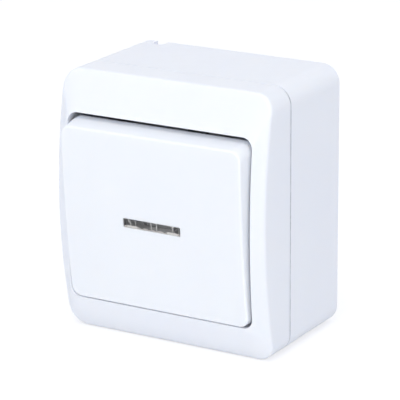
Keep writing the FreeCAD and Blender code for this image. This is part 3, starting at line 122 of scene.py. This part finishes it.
def placed(tree):
    """Place on the solid, which moves with it."""
    return tree.nodes.new("ShaderNodeTexCoord").outputs["Object"]


def along(tree, axis):
    """Distance along X, Y or Z on the solid."""
    return add_node(tree, "ShaderNodeSeparateXYZ", Vector=placed(tree)).outputs[axis]


def spots(tree, scale, detail=2.0, roughness=0.5, stretch=(1, 1, 1)):
    """Noise that lies fast on the solid, at a scale per metre."""
    mapped = add_node(tree, "ShaderNodeMapping", Vector=placed(tree), Scale=stretch)
    noise = add_node(
        tree, "ShaderNodeTexNoise", Vector=mapped.outputs[0], Scale=scale, Detail=detail, Roughness=roughness
    )
    return noise.outputs["Fac"]


# Effects that several finishes share


def new_effect(name, inputs, output):
    """A shader node group with named inputs and one named output."""
    tree = bpy.data.node_groups.new(name, "ShaderNodeTree")
    kinds = {"value": "NodeSocketFloat", "colour": "NodeSocketColor"}
    for label, kind, start in inputs:
        tree.interface.new_socket(label, in_out="INPUT", socket_type=kinds[kind]).default_value = start
    tree.interface.new_socket(output[0], in_out="OUTPUT", socket_type=kinds[output[1]])
    entry = tree.nodes.new("NodeGroupInput")
    leave = tree.nodes.new("NodeGroupOutput")
    return tree, entry.outputs, leave.inputs


def make_mould_grain():
    """Fine spark-eroded skin of a mould: pits of two sizes."""
    tree, given, result = new_effect(
        "mould grain",
        [("Grain per metre", "value", 5000.0), ("Coarse share", "value", 0.4)],
        ("Height", "value"),
    )
    fine = spots(tree, given["Grain per metre"], detail=3.0, roughness=0.6)
    coarse = spots(tree, maths(tree, "MULTIPLY", given["Grain per metre"], 0.3), detail=1.0)
    share = given["Coarse share"]
    coarse_part = maths(tree, "MULTIPLY", coarse, share)
    fine_part = maths(tree, "MULTIPLY", fine, maths(tree, "SUBTRACT", 1.0, share))
    plug(tree, result["Height"], maths(tree, "ADD", coarse_part, fine_part))
    return tree


def make_flow_drift():
    """Slow change of colour where the melt flowed and cooled."""
    tree, given, result = new_effect(
        "flow drift",
        [
            ("Colour", "colour", (0.8, 0.8, 0.8, 1)),
            ("Drifted colour", "colour", (0.75, 0.75, 0.75, 1)),
            ("Patches per metre", "value", 40.0),
            ("Amount", "value", 0.5),
        ],
        ("Colour", "colour"),
    )
    patches = ramped(tree, spots(tree, given["Patches per metre"], detail=3.0), 0.3, 0.7)
    share = maths(tree, "MULTIPLY", patches, given["Amount"])
    plug(tree, result["Colour"], blended(tree, share, given["Colour"], given["Drifted colour"]))
    return tree


def make_edge_rub():
    """Mask along outside edges, where hands and cloths rub, broken up by noise."""
    tree, given, result = new_effect(
        "edge rub",
        [("Width", "value", 0.4 * MM), ("Strength", "value", 1.0), ("Breaks per metre", "value", 600.0)],
        ("Mask", "value"),
    )
    soft = add_node(tree, "ShaderNodeBevel", {"samples": 4}, Radius=given["Width"])
    sharp = add_node(tree, "ShaderNodeNewGeometry")
    meet = add_node(tree, "ShaderNodeVectorMath", {"operation": "DOT_PRODUCT"})
    plug(tree, meet.inputs[0], soft.outputs[0])
    plug(tree, meet.inputs[1], sharp.outputs["Normal"])
    edge = ramped(tree, meet.outputs["Value"], 0.998, 0.93)
    breaks = ramped(tree, spots(tree, given["Breaks per metre"], detail=4.0, roughness=0.7), 0.35, 0.65)
    mask = maths(tree, "MULTIPLY", maths(tree, "MULTIPLY", edge, breaks), given["Strength"], clamp=True)
    plug(tree, result["Mask"], mask)
    return tree


def make_handled_gloss():
    """Roughness between two levels: smeared patches with fine speckle."""
    tree, given, result = new_effect(
        "handled gloss",
        [("Low", "value", 0.3), ("High", "value", 0.45), ("Smears per metre", "value", 90.0)],
        ("Roughness", "value"),
    )
    smears = spots(tree, given["Smears per metre"], detail=4.0, roughness=0.55, stretch=(1, 1, 0.35))
    speckle = spots(tree, 4000.0, detail=1.0)
    both = maths(tree, "ADD", maths(tree, "MULTIPLY", smears, 0.8), maths(tree, "MULTIPLY", speckle, 0.2))
    plug(tree, result["Roughness"], ramped(tree, both, 0.3, 0.7, given["Low"], given["High"]))
    return tree


def make_settled_dust():
    """Thin dust on what looks up, thicker in patches."""
    tree, given, result = new_effect(
        "settled dust",
        [("Amount", "value", 0.1), ("Patches per metre", "value", 300.0)],
        ("Mask", "value"),
    )
    facing = add_node(tree, "ShaderNodeNewGeometry")
    parts = add_node(tree, "ShaderNodeSeparateXYZ", Vector=facing.outputs["Normal"])
    upward = ramped(tree, parts.outputs["Z"], 0.5, 1.0)
    clouds = spots(tree, given["Patches per metre"], detail=5.0, roughness=0.7)
    patches = ramped(tree, clouds, 0.4, 0.75, 0.3, 1.0)
    mask = maths(tree, "MULTIPLY", maths(tree, "MULTIPLY", upward, patches), given["Amount"], clamp=True)
    plug(tree, result["Mask"], mask)
    return tree


def make_drawn_lines():
    """Fine lines that rolling, drawing or turning leaves in metal."""
    tree, given, result = new_effect(
        "drawn lines",
        [("Lines per metre", "value", 9000.0), ("Run", "value", 0.03)],
        ("Height", "value"),
    )
    stretch = add_node(tree, "ShaderNodeCombineXYZ", X=1.0, Y=1.0, Z=given["Run"])
    lines = spots(tree, given["Lines per metre"], stretch=stretch.outputs[0])
    plug(tree, result["Height"], lines)
    return tree


EFFECTS = {
    "grain": make_mould_grain(),
    "drift": make_flow_drift(),
    "rub": make_edge_rub(),
    "gloss": make_handled_gloss(),
    "dust": make_settled_dust(),
    "lines": make_drawn_lines(),
}


def effect(tree, name, **sockets):
    """Puts a shared effect into a finish, with its own values."""
    node = tree.nodes.new("ShaderNodeGroup")
    node.node_tree = EFFECTS[name]
    for label, source in sockets.items():
        plug(tree, node.inputs[label.replace("_", " ")], source)
    return node.outputs


# What makes a moulding, a metal strip or a rubber


def new_material(name):
    """An empty material with its shader, ready for sockets."""
    material = bpy.data.materials.new(name)
    material.use_nodes = True
    tree = material.node_tree
    tree.nodes.clear()
    shader = tree.nodes.new("ShaderNodeBsdfPrincipled")
    leave = tree.nodes.new("ShaderNodeOutputMaterial")
    tree.links.new(shader.outputs[0], leave.inputs["Surface"])
    return material, tree, shader


def coloured(tree, colour, drifted, **sockets):
    """Base colour that drifts in patches to a second one."""
    return effect(tree, "drift", Colour=(*colour, 1), Drifted_colour=(*drifted, 1), **sockets)["Colour"]


def polished(tree, shader, low, high, **sockets):
    """Roughness of a skin that hands have touched."""
    polish = effect(tree, "gloss", Low=low, High=high, **sockets)
    plug(tree, shader.inputs["Roughness"], polish["Roughness"])


def bumped(tree, shader, height, strength, distance):
    """Relief of the skin, up to a distance in metres."""
    bump = add_node(tree, "ShaderNodeBump", Height=height, Strength=strength, Distance=distance)
    plug(tree, shader.inputs["Normal"], bump.outputs[0])


JOINT = 28.2 * MM
# Colour of the painted shade in the joint between the shells
JOINT_SHADE = (0.3, 0.31, 0.34, 1)


def joint_painted_shade(tree, colour):
    """Colour with a dark line of painted shade along the upright runs of the joint between the shells."""
    away = maths(tree, "ABSOLUTE", maths(tree, "ADD", along(tree, "Y"), JOINT))
    upright = ramped(tree, maths(tree, "ABSOLUTE", along(tree, "X")), 29.5 * MM, 31.5 * MM)
    patches = ramped(tree, spots(tree, 500.0, detail=3.0), 0.3, 0.6, 0.35, 0.55)
    line = maths(tree, "MULTIPLY", ramped(tree, away, 0.36 * MM, 0.2 * MM), upright)
    return blended(tree, maths(tree, "MULTIPLY", line, patches), colour, JOINT_SHADE)


def moulded_plastic(name, colour, drifted, gloss, depth=0.012 * MM, milky=0.0, joint=False):
    """Moulded plastic: slow drift of colour, rubbed edges, a little dust, mould grain and milkiness."""
    material, tree, shader = new_material(name)
    shader.inputs["Subsurface Weight"].default_value = milky
    shader.inputs["Subsurface Radius"].default_value = (1.0, 0.95, 0.9)
    shader.inputs["Subsurface Scale"].default_value = 0.8 * MM
    rub = effect(tree, "rub", Width=0.5 * MM, Strength=0.5)
    brighter = tuple(min(1.0, part * 1.04) for part in colour)
    worn = blended(tree, rub["Mask"], coloured(tree, colour, drifted, Amount=0.6), (*brighter, 1))
    settled = effect(tree, "dust", Amount=0.05)
    dusty = blended(tree, settled["Mask"], worn, (0.55, 0.53, 0.5, 1))
    # On the shells, painted shade darkens the upright runs of their joint.
    plug(tree, shader.inputs["Base Color"], joint_painted_shade(tree, dusty) if joint else dusty)
    polish = effect(tree, "gloss", Low=gloss[0], High=gloss[1])
    smoothed = maths(tree, "MULTIPLY", rub["Mask"], 0.08)
    plug(tree, shader.inputs["Roughness"], maths(tree, "SUBTRACT", polish["Roughness"], smoothed))
    shader.inputs["IOR"].default_value = 1.5
    skin = effect(tree, "grain", Grain_per_metre=5200.0)
    bumped(tree, shader, skin["Height"], 0.35, depth)
    return material


def rolled_metal(name, colour, tarnish, gloss, run=0.03, lines=9000.0):
    """Stamped or turned metal with drawn lines, tarnish in patches and brighter edges."""
    material, tree, shader = new_material(name)
    tone = coloured(tree, colour, tarnish, Patches_per_metre=350.0, Amount=0.7)
    rub = effect(tree, "rub", Width=0.15 * MM, Strength=0.8, Breaks_per_metre=2500.0)
    bright = tuple(min(1.0, part * 1.2) for part in colour)
    plug(tree, shader.inputs["Base Color"], blended(tree, rub["Mask"], tone, (*bright, 1)))
    shader.inputs["Metallic"].default_value = 1.0
    polished(tree, shader, *gloss, Smears_per_metre=500.0)
    streaks = effect(tree, "lines", Lines_per_metre=lines, Run=run)
    bumped(tree, shader, streaks["Height"], 0.4, 0.004 * MM)
    return material


def soft_rubber(name, colour):
    """Matt rubber with a dull skin and pale dust."""
    material, tree, shader = new_material(name)
    lighter = tuple(part * 1.5 + 0.01 for part in colour)
    tone = coloured(tree, colour, lighter, Patches_per_metre=220.0)
    settled = effect(tree, "dust", Amount=0.25)
    plug(tree, shader.inputs["Base Color"], blended(tree, settled["Mask"], tone, (0.5, 0.5, 0.5, 1)))
    polished(tree, shader, 0.62, 0.8)
    skin = effect(tree, "grain", Grain_per_metre=3800.0, Coarse_share=0.6)
    bumped(tree, shader, skin["Height"], 0.5, 0.02 * MM)
    return material


def clear_plastic(name, colour, gloss):
    """Polished clear moulding with faint flow marks and hairline scratches, open to the lamps' light."""
    material, tree, shader = new_material(name)
    path = tree.nodes.new("ShaderNodeLightPath")
    open_way = add_node(tree, "ShaderNodeBsdfTransparent", Color=(0.9, 0.9, 0.9, 1))
    mix = add_node(tree, "ShaderNodeMixShader", Fac=path.outputs["Is Shadow Ray"])
    tree.links.new(shader.outputs[0], mix.inputs[1])
    tree.links.new(open_way.outputs[0], mix.inputs[2])
    tree.links.new(mix.outputs[0], tree.nodes["Material Output"].inputs["Surface"])
    shader.inputs["Transmission Weight"].default_value = 1.0
    shader.inputs["IOR"].default_value = 1.49
    deeper = tuple(0.96 * part for part in colour)
    plug(tree, shader.inputs["Base Color"], coloured(tree, colour, deeper, Amount=0.5))
    polished(tree, shader, *gloss, Smears_per_metre=400.0)
    streaks = effect(tree, "lines", Lines_per_metre=2600.0, Run=0.2)
    bumped(tree, shader, streaks["Height"], 0.08, 0.004 * MM)
    return material


def matt_clear_plastic(name, middle, ends):
    """Spark-eroded skin of a clear moulding, paler in two fields at its ends."""
    material, tree, shader = new_material(name)
    field_middle = 6.4 * MM
    beside = maths(tree, "ABSOLUTE", along(tree, "X"))
    away = maths(tree, "ABSOLUTE", maths(tree, "SUBTRACT", beside, field_middle))
    tone = blended(tree, ramped(tree, away, 1.8 * MM, 1.5 * MM), (*middle, 1), (*ends, 1))
    rub = effect(tree, "rub", Width=0.1 * MM, Strength=0.4)
    plug(tree, shader.inputs["Base Color"], blended(tree, rub["Mask"], tone, (0.85, 0.85, 0.85, 1)))
    polished(tree, shader, 0.5, 0.7, Smears_per_metre=900.0)
    skin = effect(tree, "grain", Grain_per_metre=6000.0)
    bumped(tree, shader, skin["Height"], 0.4, 0.01 * MM)
    return material


# Finishes, one for each slot of the record and two for the inside of the lens bar

COVER_WHITE = (0.865, 0.886, 0.955)
COVER_SHADE = (0.848, 0.868, 0.942)
KEY_WHITE = (0.872, 0.895, 0.948)
KEY_SHADE = (0.855, 0.877, 0.936)


def box_plastic():
    """Back box: the cover's white with a duller skin."""
    return moulded_plastic("box_plastic", COVER_WHITE, COVER_SHADE, (0.42, 0.52), milky=1.0, joint=True)


def cover_plastic():
    """Front cover: satin white."""
    return moulded_plastic("cover_plastic", COVER_WHITE, COVER_SHADE, (0.34, 0.44), milky=1.0, joint=True)


def rocker_plastic():
    """Key: the smoothest white, where fingers press."""
    return moulded_plastic(
        "rocker_plastic", KEY_WHITE, KEY_SHADE, (0.31, 0.39), depth=0.006 * MM, milky=1.0
    )


def base_plastic():
    """Mechanism base: light grey heat-proof moulding."""
    return moulded_plastic("base_plastic", (0.7, 0.71, 0.71), (0.64, 0.65, 0.65), (0.4, 0.5))


def frame_plastic():
    """Mechanism frame: off-white plate."""
    return moulded_plastic("frame_plastic", (0.84, 0.85, 0.86), (0.79, 0.8, 0.81), (0.36, 0.46))


def cradle_plastic():
    """Cradle of the key: off-white, close to the key."""
    return moulded_plastic("cradle_plastic", (0.84, 0.855, 0.87), (0.8, 0.815, 0.83), (0.34, 0.44))


def plunger_plastic():
    """Plunger: undyed slippery plastic."""
    return moulded_plastic("plunger_plastic", (0.7, 0.66, 0.52), (0.64, 0.6, 0.46), (0.3, 0.4))


def seal_rubber():
    """Gasket between the shells: near black."""
    return soft_rubber("seal_rubber", (0.045, 0.048, 0.055))


def grommet_rubber():
    """Cable grommet: light grey."""
    return soft_rubber("grommet_rubber", (0.5, 0.52, 0.55))


def zinc_steel():
    """Screws: zinc over steel, turned."""
    return rolled_metal(
        "zinc_steel", (0.62, 0.63, 0.62), (0.5, 0.51, 0.52), (0.24, 0.4), run=1.0, lines=5000.0
    )


def spring_steel():
    """Plunger's spring: bright drawn wire."""
    return rolled_metal("spring_steel", (0.5, 0.5, 0.52), (0.4, 0.4, 0.43), (0.2, 0.34))


def terminal_brass():
    """Terminal strips: rolled brass."""
    return rolled_metal("terminal_brass", (0.72, 0.53, 0.24), (0.5, 0.33, 0.13), (0.22, 0.4))


def clamp_brass():
    """Clamp cages: nickel over brass."""
    return rolled_metal("clamp_brass", (0.66, 0.63, 0.56), (0.5, 0.47, 0.4), (0.25, 0.42), run=1.0)


def lever_brass():
    """Contact lever: springy brass, a little redder where it tarnished."""
    return rolled_metal("lever_brass", (0.74, 0.55, 0.26), (0.55, 0.37, 0.15), (0.2, 0.36))


def contact_silver():
    """Contact rivets: silver with warm tarnish."""
    return rolled_metal("contact_silver", (0.83, 0.82, 0.79), (0.6, 0.58, 0.54), (0.18, 0.35), run=1.0)


def lead_wire():
    """Leads of the lamp: tinned wire."""
    return rolled_metal("lead_wire", (0.66, 0.64, 0.6), (0.5, 0.48, 0.45), (0.25, 0.4), run=1.0)


def lamp_glass():
    """Bulb of the indicator lamp."""
    return clear_plastic("lamp_glass", (0.98, 0.98, 0.98), (0.01, 0.04))


def lens_clear():
    """Lens bar in the key: clear, with a faint rose tint."""
    return clear_plastic("lens_clear", (0.975, 0.965, 0.98), (0.02, 0.06))


def rib_matt():
    """Ribs inside the lens bar: pale and matt."""
    return matt_clear_plastic("rib_matt", (0.97, 0.97, 0.97), (0.95, 0.95, 0.94))


def ledge_matt():
    """Ledge inside the lens bar: grey between two pale fields."""
    return matt_clear_plastic("ledge_matt", (0.72, 0.69, 0.68), (0.97, 0.955, 0.945))


# Painted rings of the resistor, each with its depth before the wall in millimetres
RINGS = (
    (25.4, (0.3, 0.08, 0.02)),
    (27.1, (0.02, 0.02, 0.02)),
    (28.6, (0.7, 0.5, 0.03)),
    (30.6, (0.6, 0.45, 0.12)),
)


def resistor_coating():
    """Glazed resistor body with four painted rings."""
    material, tree, shader = new_material("resistor_coating")
    colour = coloured(tree, (0.5, 0.33, 0.17), (0.42, 0.27, 0.13), Patches_per_metre=700.0)
    depth = along(tree, "Y")
    for middle, paint in RINGS:
        away = maths(tree, "ABSOLUTE", maths(tree, "ADD", depth, middle * MM))
        colour = blended(tree, ramped(tree, away, 0.32 * MM, 0.26 * MM), colour, (*paint, 1))
    plug(tree, shader.inputs["Base Color"], colour)
    polished(tree, shader, 0.18, 0.32, Smears_per_metre=600.0)
    skin = effect(tree, "grain", Grain_per_metre=2500.0)
    bumped(tree, shader, skin["Height"], 0.2, 0.02 * MM)
    return material


MAKERS = (
    box_plastic,
    cover_plastic,
    rocker_plastic,
    base_plastic,
    frame_plastic,
    cradle_plastic,
    plunger_plastic,
    seal_rubber,
    grommet_rubber,
    zinc_steel,
    spring_steel,
    terminal_brass,
    clamp_brass,
    lever_brass,
    contact_silver,
    lead_wire,
    lamp_glass,
    lens_clear,
    rib_matt,
    ledge_matt,
    resistor_coating,
)
FINISHES = {maker.__name__: maker() for maker in MAKERS}


def dress_nodes():
    """Every node of the frame gets the finish that its slot names."""
    for part in frame["record"]["subparts"]:
        piece = nodes[part["node"]]
        piece.data.materials.clear()
        piece.data.materials.append(FINISHES[part["material_slot"]])


# Pieces of the key, placed by millimetres across, ahead of its axis and up

PIVOT = Vector((0, -33.0, -0.4)) * MM
REST_TILT = math.radians(4.8)


def from_rocker(point):
    """A point of the level key, turned and moved to its place at rest."""
    x, ahead, z = point
    turned = Matrix.Rotation(REST_TILT, 3, "X") @ Vector((x, -ahead, z))
    return turned * MM + PIVOT


def new_piece(name, mesh, body, finish, stands_for=()):
    """A piece that rides on a body, with its finish in a material slot, and that hides the nodes it stands
    for.
    """
    data = bpy.data.meshes.new(name)
    mesh.normal_update()
    mesh.to_mesh(data)
    mesh.free()
    piece = bpy.data.objects.new(name, data)
    scene.collection.objects.link(piece)
    data.materials.append(FINISHES[finish])
    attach(piece, body)
    if stands_for:
        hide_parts(*stands_for)
    return piece


def rounded_outline(half_x, half_z, bend, steps=5):
    """Points of a rounded rectangle, anticlockwise from the lower right."""
    ring = []
    for start, x, z in ((270, 1, -1), (0, 1, 1), (90, -1, 1), (180, -1, -1)):
        for step in range(steps + 1):
            turn = math.radians(start + 90 * step / steps)
            across = x * (half_x - bend) + bend * math.cos(turn)
            ring.append((across, z * (half_z - bend) + bend * math.sin(turn)))
    return ring


def level_ring(size, inset, ahead):
    """Rounded rectangle of a half width, half height and corner, drawn in and placed ahead of the axis."""
    outline = rounded_outline(*(part - inset for part in size))
    return [from_rocker((x, ahead, z)) for x, z in outline]


def skinned(mesh, rings):
    """Skin over point rings, one after the other. Gives back the first and the last ring."""
    rows = [[mesh.verts.new(point) for point in ring] for ring in rings]
    for row, after in zip(rows, rows[1:]):
        for number in range(len(row)):
            follow = (number + 1) % len(row)
            mesh.faces.new((row[number], row[follow], after[follow], after[number]))
    return rows[0], rows[-1]


def filled(mesh, rings):
    """Skin over point rings with both ends closed."""
    for end in skinned(mesh, rings):
        mesh.faces.new(end)
    bmesh.ops.recalc_face_normals(mesh, faces=mesh.faces)


def smooth_but_edges(mesh, limit=math.radians(32)):
    """Smooth shading that stops at edges sharper than the limit."""
    for face in mesh.faces:
        face.smooth = True
    for edge in mesh.edges:
        edge.smooth = len(edge.link_faces) == 2 and edge.calc_face_angle(0) < limit


# Half width, half height and corner of the lens bar and of its foot, and how far ahead they lie
LENS_BAR = (9.05, 1.275, 0.25)
LENS_FOOT = (10.3, 2.525, 0.6)
LENS_REAR = 10.6
LENS_STEP = 11.4
LENS_FRONT = 13.45


def make_lens():
    """Clear bar on its foot, with the front edge rounded."""
    mesh = bmesh.new()
    rings = [
        level_ring(size, inset, ahead)
        for size, inset, ahead in (
            (LENS_FOOT, 0.0, LENS_REAR),
            (LENS_FOOT, 0.0, LENS_STEP),
            (LENS_BAR, 0.0, LENS_STEP),
            (LENS_BAR, 0.0, LENS_FRONT - 0.14),
            (LENS_BAR, 0.03, LENS_FRONT - 0.06),
            (LENS_BAR, 0.08, LENS_FRONT - 0.02),
            (LENS_BAR, 0.15, LENS_FRONT),
        )
    ]
    filled(mesh, rings)
    smooth_but_edges(mesh)
    new_piece("lens_bar", mesh, "rocker", "lens_clear", stands_for=("indicator_lens",))


# Corners of each rib, across and up from the middle of the bar
LENS_RIBS = (
    ((-7.88, -0.1), (-7.7, -0.1), (-7.74, 1.2), (-7.9, 1.2)),
    ((-7.14, -1.2), (-6.84, -1.2), (-7.38, 0.4), (-7.6, 0.4)),
    ((-5.82, -1.2), (-5.62, -1.2), (-5.68, 1.2), (-5.72, 1.2)),
    ((-0.72, -1.2), (-0.5, -1.2), (-0.7, 1.2), (-0.86, 1.2)),
    ((0.86, -1.2), (1.12, -1.2), (1.14, 1.2), (0.98, 1.2)),
    ((0.7, 0.66), (1.5, 0.66), (1.44, 0.84), (0.76, 0.84)),
    ((5.96, -1.2), (6.2, -1.2), (6.08, 1.2), (5.93, 1.2)),
    ((7.9, -1.2), (8.04, -1.2), (7.99, 1.2), (7.95, 1.2)),
)
RIB_REAR = LENS_FRONT - 1.5
RIB_FRONT = LENS_FRONT - 1.3


def make_lens_ribs():
    """Matt ribs inside the clear bar, most of them upright and wider at the foot."""
    mesh = bmesh.new()
    for outline in LENS_RIBS:
        filled(mesh, [[from_rocker((x, ahead, z)) for x, z in outline] for ahead in (RIB_REAR, RIB_FRONT)])
    new_piece("lens_ribs", mesh, "rocker", "rib_matt")


LEDGE_FOOT = -1.24
LEDGE_LIP = LENS_FRONT - 0.16
LEDGE_HEIGHT = 0.42
# The ledge is higher in two fields that begin and end this far from the middle
FIELD_START = 4.6
FIELD_END = 8.0
FIELD_HEIGHT = 0.55
# Middles of the dips between the fields, and how wide and deep each is
LEDGE_DIPS = (-3.4, -0.95, 1.3, 3.9)
DIP_HALF_WIDTH = 0.8
DIP_DEPTH = 0.22


def ledge_height(x):
    """Height of the matt ledge, at a distance from the middle of the bar."""
    if FIELD_START < abs(x) < FIELD_END:
        return FIELD_HEIGHT
    dips = [max(0.0, 1.0 - ((x - middle) / DIP_HALF_WIDTH) ** 2) for middle in LEDGE_DIPS]
    return LEDGE_HEIGHT - DIP_DEPTH * max(dips)


def make_lens_ledge():
    """Matt ramp along the lower wall of the clear bar, with a section every tenth of a millimetre."""
    mesh = bmesh.new()
    rings = []
    for step in range(-89, 90):
        x = step / 10
        height = ledge_height(x)
        back = LEDGE_LIP - 0.1 - 0.5 * height
        corners = ((x, LEDGE_LIP, LEDGE_FOOT), (x, back, LEDGE_FOOT + height), (x, back - 0.05, LEDGE_FOOT))
        rings.append([from_rocker(corner) for corner in corners])
    filled(mesh, rings)
    new_piece("lens_ledge", mesh, "rocker", "ledge_matt")


# Half width, half height and corner of the key's rear rim, and how far ahead it lies
KEY_RIM = (28.7, 26.06, 3.0)
KEY_RIM_AHEAD = 6.5
# The skirt starts inside the key's walls, which it continues
SKIRT_FRONT = KEY_RIM_AHEAD + 0.5
SKIRT_REAR = KEY_RIM_AHEAD - 1.4
SKIRT_WALL = 1.5


def make_key_skirt():
    """Rear edge of the key's walls, which reaches deeper into the gap than the rim of the solid."""
    mesh = bmesh.new()
    rings = [
        level_ring(KEY_RIM, inset, ahead)
        for inset, ahead in (
            (0.2, SKIRT_FRONT),
            (0.01, KEY_RIM_AHEAD),
            (0.01, SKIRT_REAR + 0.1),
            (0.11, SKIRT_REAR),
            (SKIRT_WALL, SKIRT_REAR),
            (SKIRT_WALL, SKIRT_FRONT),
            (0.2, SKIRT_FRONT),
        )
    ]
    skinned(mesh, rings)
    bmesh.ops.remove_doubles(mesh, verts=mesh.verts, dist=0.001 * MM)
    bmesh.ops.recalc_face_normals(mesh, faces=mesh.faces)
    smooth_but_edges(mesh)
    new_piece("key_skirt", mesh, "rocker", "rocker_plastic")


# Plunger's spring, measured to the middle and by the radius of its wire
COIL_TURNS = 6
COIL_RADIUS = 1.15
COIL_WIRE = 0.18
COIL_FRONT = -2.0
COIL_REAR = -7.3


def make_coil():
    """Wire spring behind the key's axis, which rides on the key as a whole."""
    mesh = bmesh.new()
    rings = []
    steps = 24 * COIL_TURNS
    for step in range(steps + 1):
        angle = COIL_TURNS * math.tau * step / steps
        outward = Vector((math.cos(angle), 0, -math.sin(angle)))
        run = Vector((-math.sin(angle), 0, -math.cos(angle))) * COIL_RADIUS
        run.y = (COIL_REAR - COIL_FRONT) / (COIL_TURNS * math.tau)
        beside = run.normalized().cross(outward)
        middle = outward * COIL_RADIUS
        middle.y = COIL_FRONT + (COIL_REAR - COIL_FRONT) * step / steps
        turns = [corner * math.tau / 12 for corner in range(12)]
        ring = [middle + (outward * math.cos(turn) + beside * math.sin(turn)) * COIL_WIRE for turn in turns]
        rings.append([from_rocker(point) for point in ring])
    filled(mesh, rings)
    smooth_but_edges(mesh)
    coil = new_piece("plunger_coil", mesh, "rocker", "spring_steel", stands_for=("plunger_spring",))
    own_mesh(coil)


# Studio

FLOOR_HALF = 3.0
FLOOR_GAP = 0.05 * MM


def floor_white():
    """Matt white, lifted to plain white where the camera looks at it, with the shadow kept."""
    material = bpy.data.materials.new("floor_white")
    material.use_nodes = True
    tree = material.node_tree
    tree.nodes.clear()
    matt = add_node(tree, "ShaderNodeBsdfDiffuse", Color=(0.9, 0.9, 0.91, 1))
    shaded = add_node(tree, "ShaderNodeBsdfDiffuse", Color=(0.5, 0.5, 0.5, 1))
    glow = add_node(tree, "ShaderNodeEmission", Color=(1, 1, 1, 1), Strength=0.6)
    both = tree.nodes.new("ShaderNodeAddShader")
    tree.links.new(shaded.outputs[0], both.inputs[0])
    tree.links.new(glow.outputs[0], both.inputs[1])
    path = tree.nodes.new("ShaderNodeLightPath")
    mix = add_node(tree, "ShaderNodeMixShader", Fac=path.outputs["Is Camera Ray"])
    tree.links.new(matt.outputs[0], mix.inputs[1])
    tree.links.new(both.outputs[0], mix.inputs[2])
    leave = tree.nodes.new("ShaderNodeOutputMaterial")
    tree.links.new(mix.outputs[0], leave.inputs["Surface"])
    return material


def make_floor():
    """Pale floor just under the switch."""
    mesh = bmesh.new()
    height = cad_box[0].z - FLOOR_GAP
    corners = ((-1, -1), (1, -1), (1, 1), (-1, 1))
    mesh.faces.new([mesh.verts.new((x * FLOOR_HALF, y * FLOOR_HALF, height)) for x, y in corners])
    data = bpy.data.meshes.new("floor")
    mesh.to_mesh(data)
    mesh.free()
    floor = bpy.data.objects.new("floor", data)
    scene.collection.objects.link(floor)
    data.materials.append(floor_white())


def make_world():
    """Even pale blue studio that the camera, gloss and clear parts see as white."""
    world = bpy.data.worlds.new("studio")
    scene.world = world
    world.use_nodes = True
    tree = world.node_tree
    tree.nodes.clear()
    path = tree.nodes.new("ShaderNodeLightPath")
    seen = maths(tree, "MAXIMUM", path.outputs["Is Camera Ray"], path.outputs["Is Glossy Ray"])
    seen = maths(tree, "MAXIMUM", seen, path.outputs["Is Transmission Ray"])
    ambient = add_node(tree, "ShaderNodeBackground", Color=(0.848, 0.881, 1.0, 1), Strength=0.711)
    white = add_node(tree, "ShaderNodeBackground", Color=(1, 1, 1, 1), Strength=1.0)
    mix = add_node(tree, "ShaderNodeMixShader", Fac=seen)
    tree.links.new(ambient.outputs[0], mix.inputs[1])
    tree.links.new(white.outputs[0], mix.inputs[2])
    leave = tree.nodes.new("ShaderNodeOutputWorld")
    tree.links.new(mix.outputs[0], leave.inputs["Surface"])


# Each softbox with its place in metres and its power in watts
SOFTBOXES = (
    ("front_light", (-0.15, -1.15, 0.1), 1.8),
    ("right_light", (0.65, -0.95, 0.2), 3.95),
    ("top_light", (0.1, -0.35, 1.15), 4.7),
)
SOFTBOX_SIZE = 0.9


def make_softbox(name, place, power):
    """Square softbox that looks at the switch."""
    light = bpy.data.lights.new(name, "AREA")
    light.shape = "SQUARE"
    light.size = SOFTBOX_SIZE
    light.energy = power
    light.color = (1.0, 0.992, 0.915)
    box = bpy.data.objects.new(name, light)
    scene.collection.objects.link(box)
    box.location = place
    aim = Vector((0, -0.02, 0)) - Vector(place)
    box.rotation_euler = aim.to_track_quat("-Z", "Y").to_euler()


def make_camera():
    """Long lens at the photograph's angle, found from the straight edges and corners."""
    azimuth = math.radians(30.79)
    height = math.radians(17.282)
    roll = math.radians(-0.432)
    distance = 661.423 * MM
    target = Vector((-0.384, -20.0, -0.994)) * MM
    level = math.cos(height)
    back = Vector((math.sin(azimuth) * level, -math.cos(azimuth) * level, math.sin(height)))
    right = Vector((0, 0, 1)).cross(back).normalized()
    up = back.cross(right)
    turned_right = right * math.cos(roll) + up * math.sin(roll)
    turned_up = up * math.cos(roll) - right * math.sin(roll)
    data = bpy.data.cameras.new("camera")
    data.lens = 212.225
    data.sensor_width = 36.0
    data.clip_start = 0.05
    data.clip_end = 50.0
    camera = bpy.data.objects.new("camera", data)
    scene.collection.objects.link(camera)
    axes = Matrix((turned_right, turned_up, back)).transposed()
    camera.matrix_world = Matrix.Translation(target + back * distance) @ axes.to_4x4()
    scene.camera = camera


dress_nodes()
make_lens()
make_lens_ribs()
make_lens_ledge()
make_key_skirt()
make_coil()
make_floor()
make_world()
for softbox in SOFTBOXES:
    make_softbox(*softbox)
make_camera()

scene.view_settings.view_transform = "Standard"
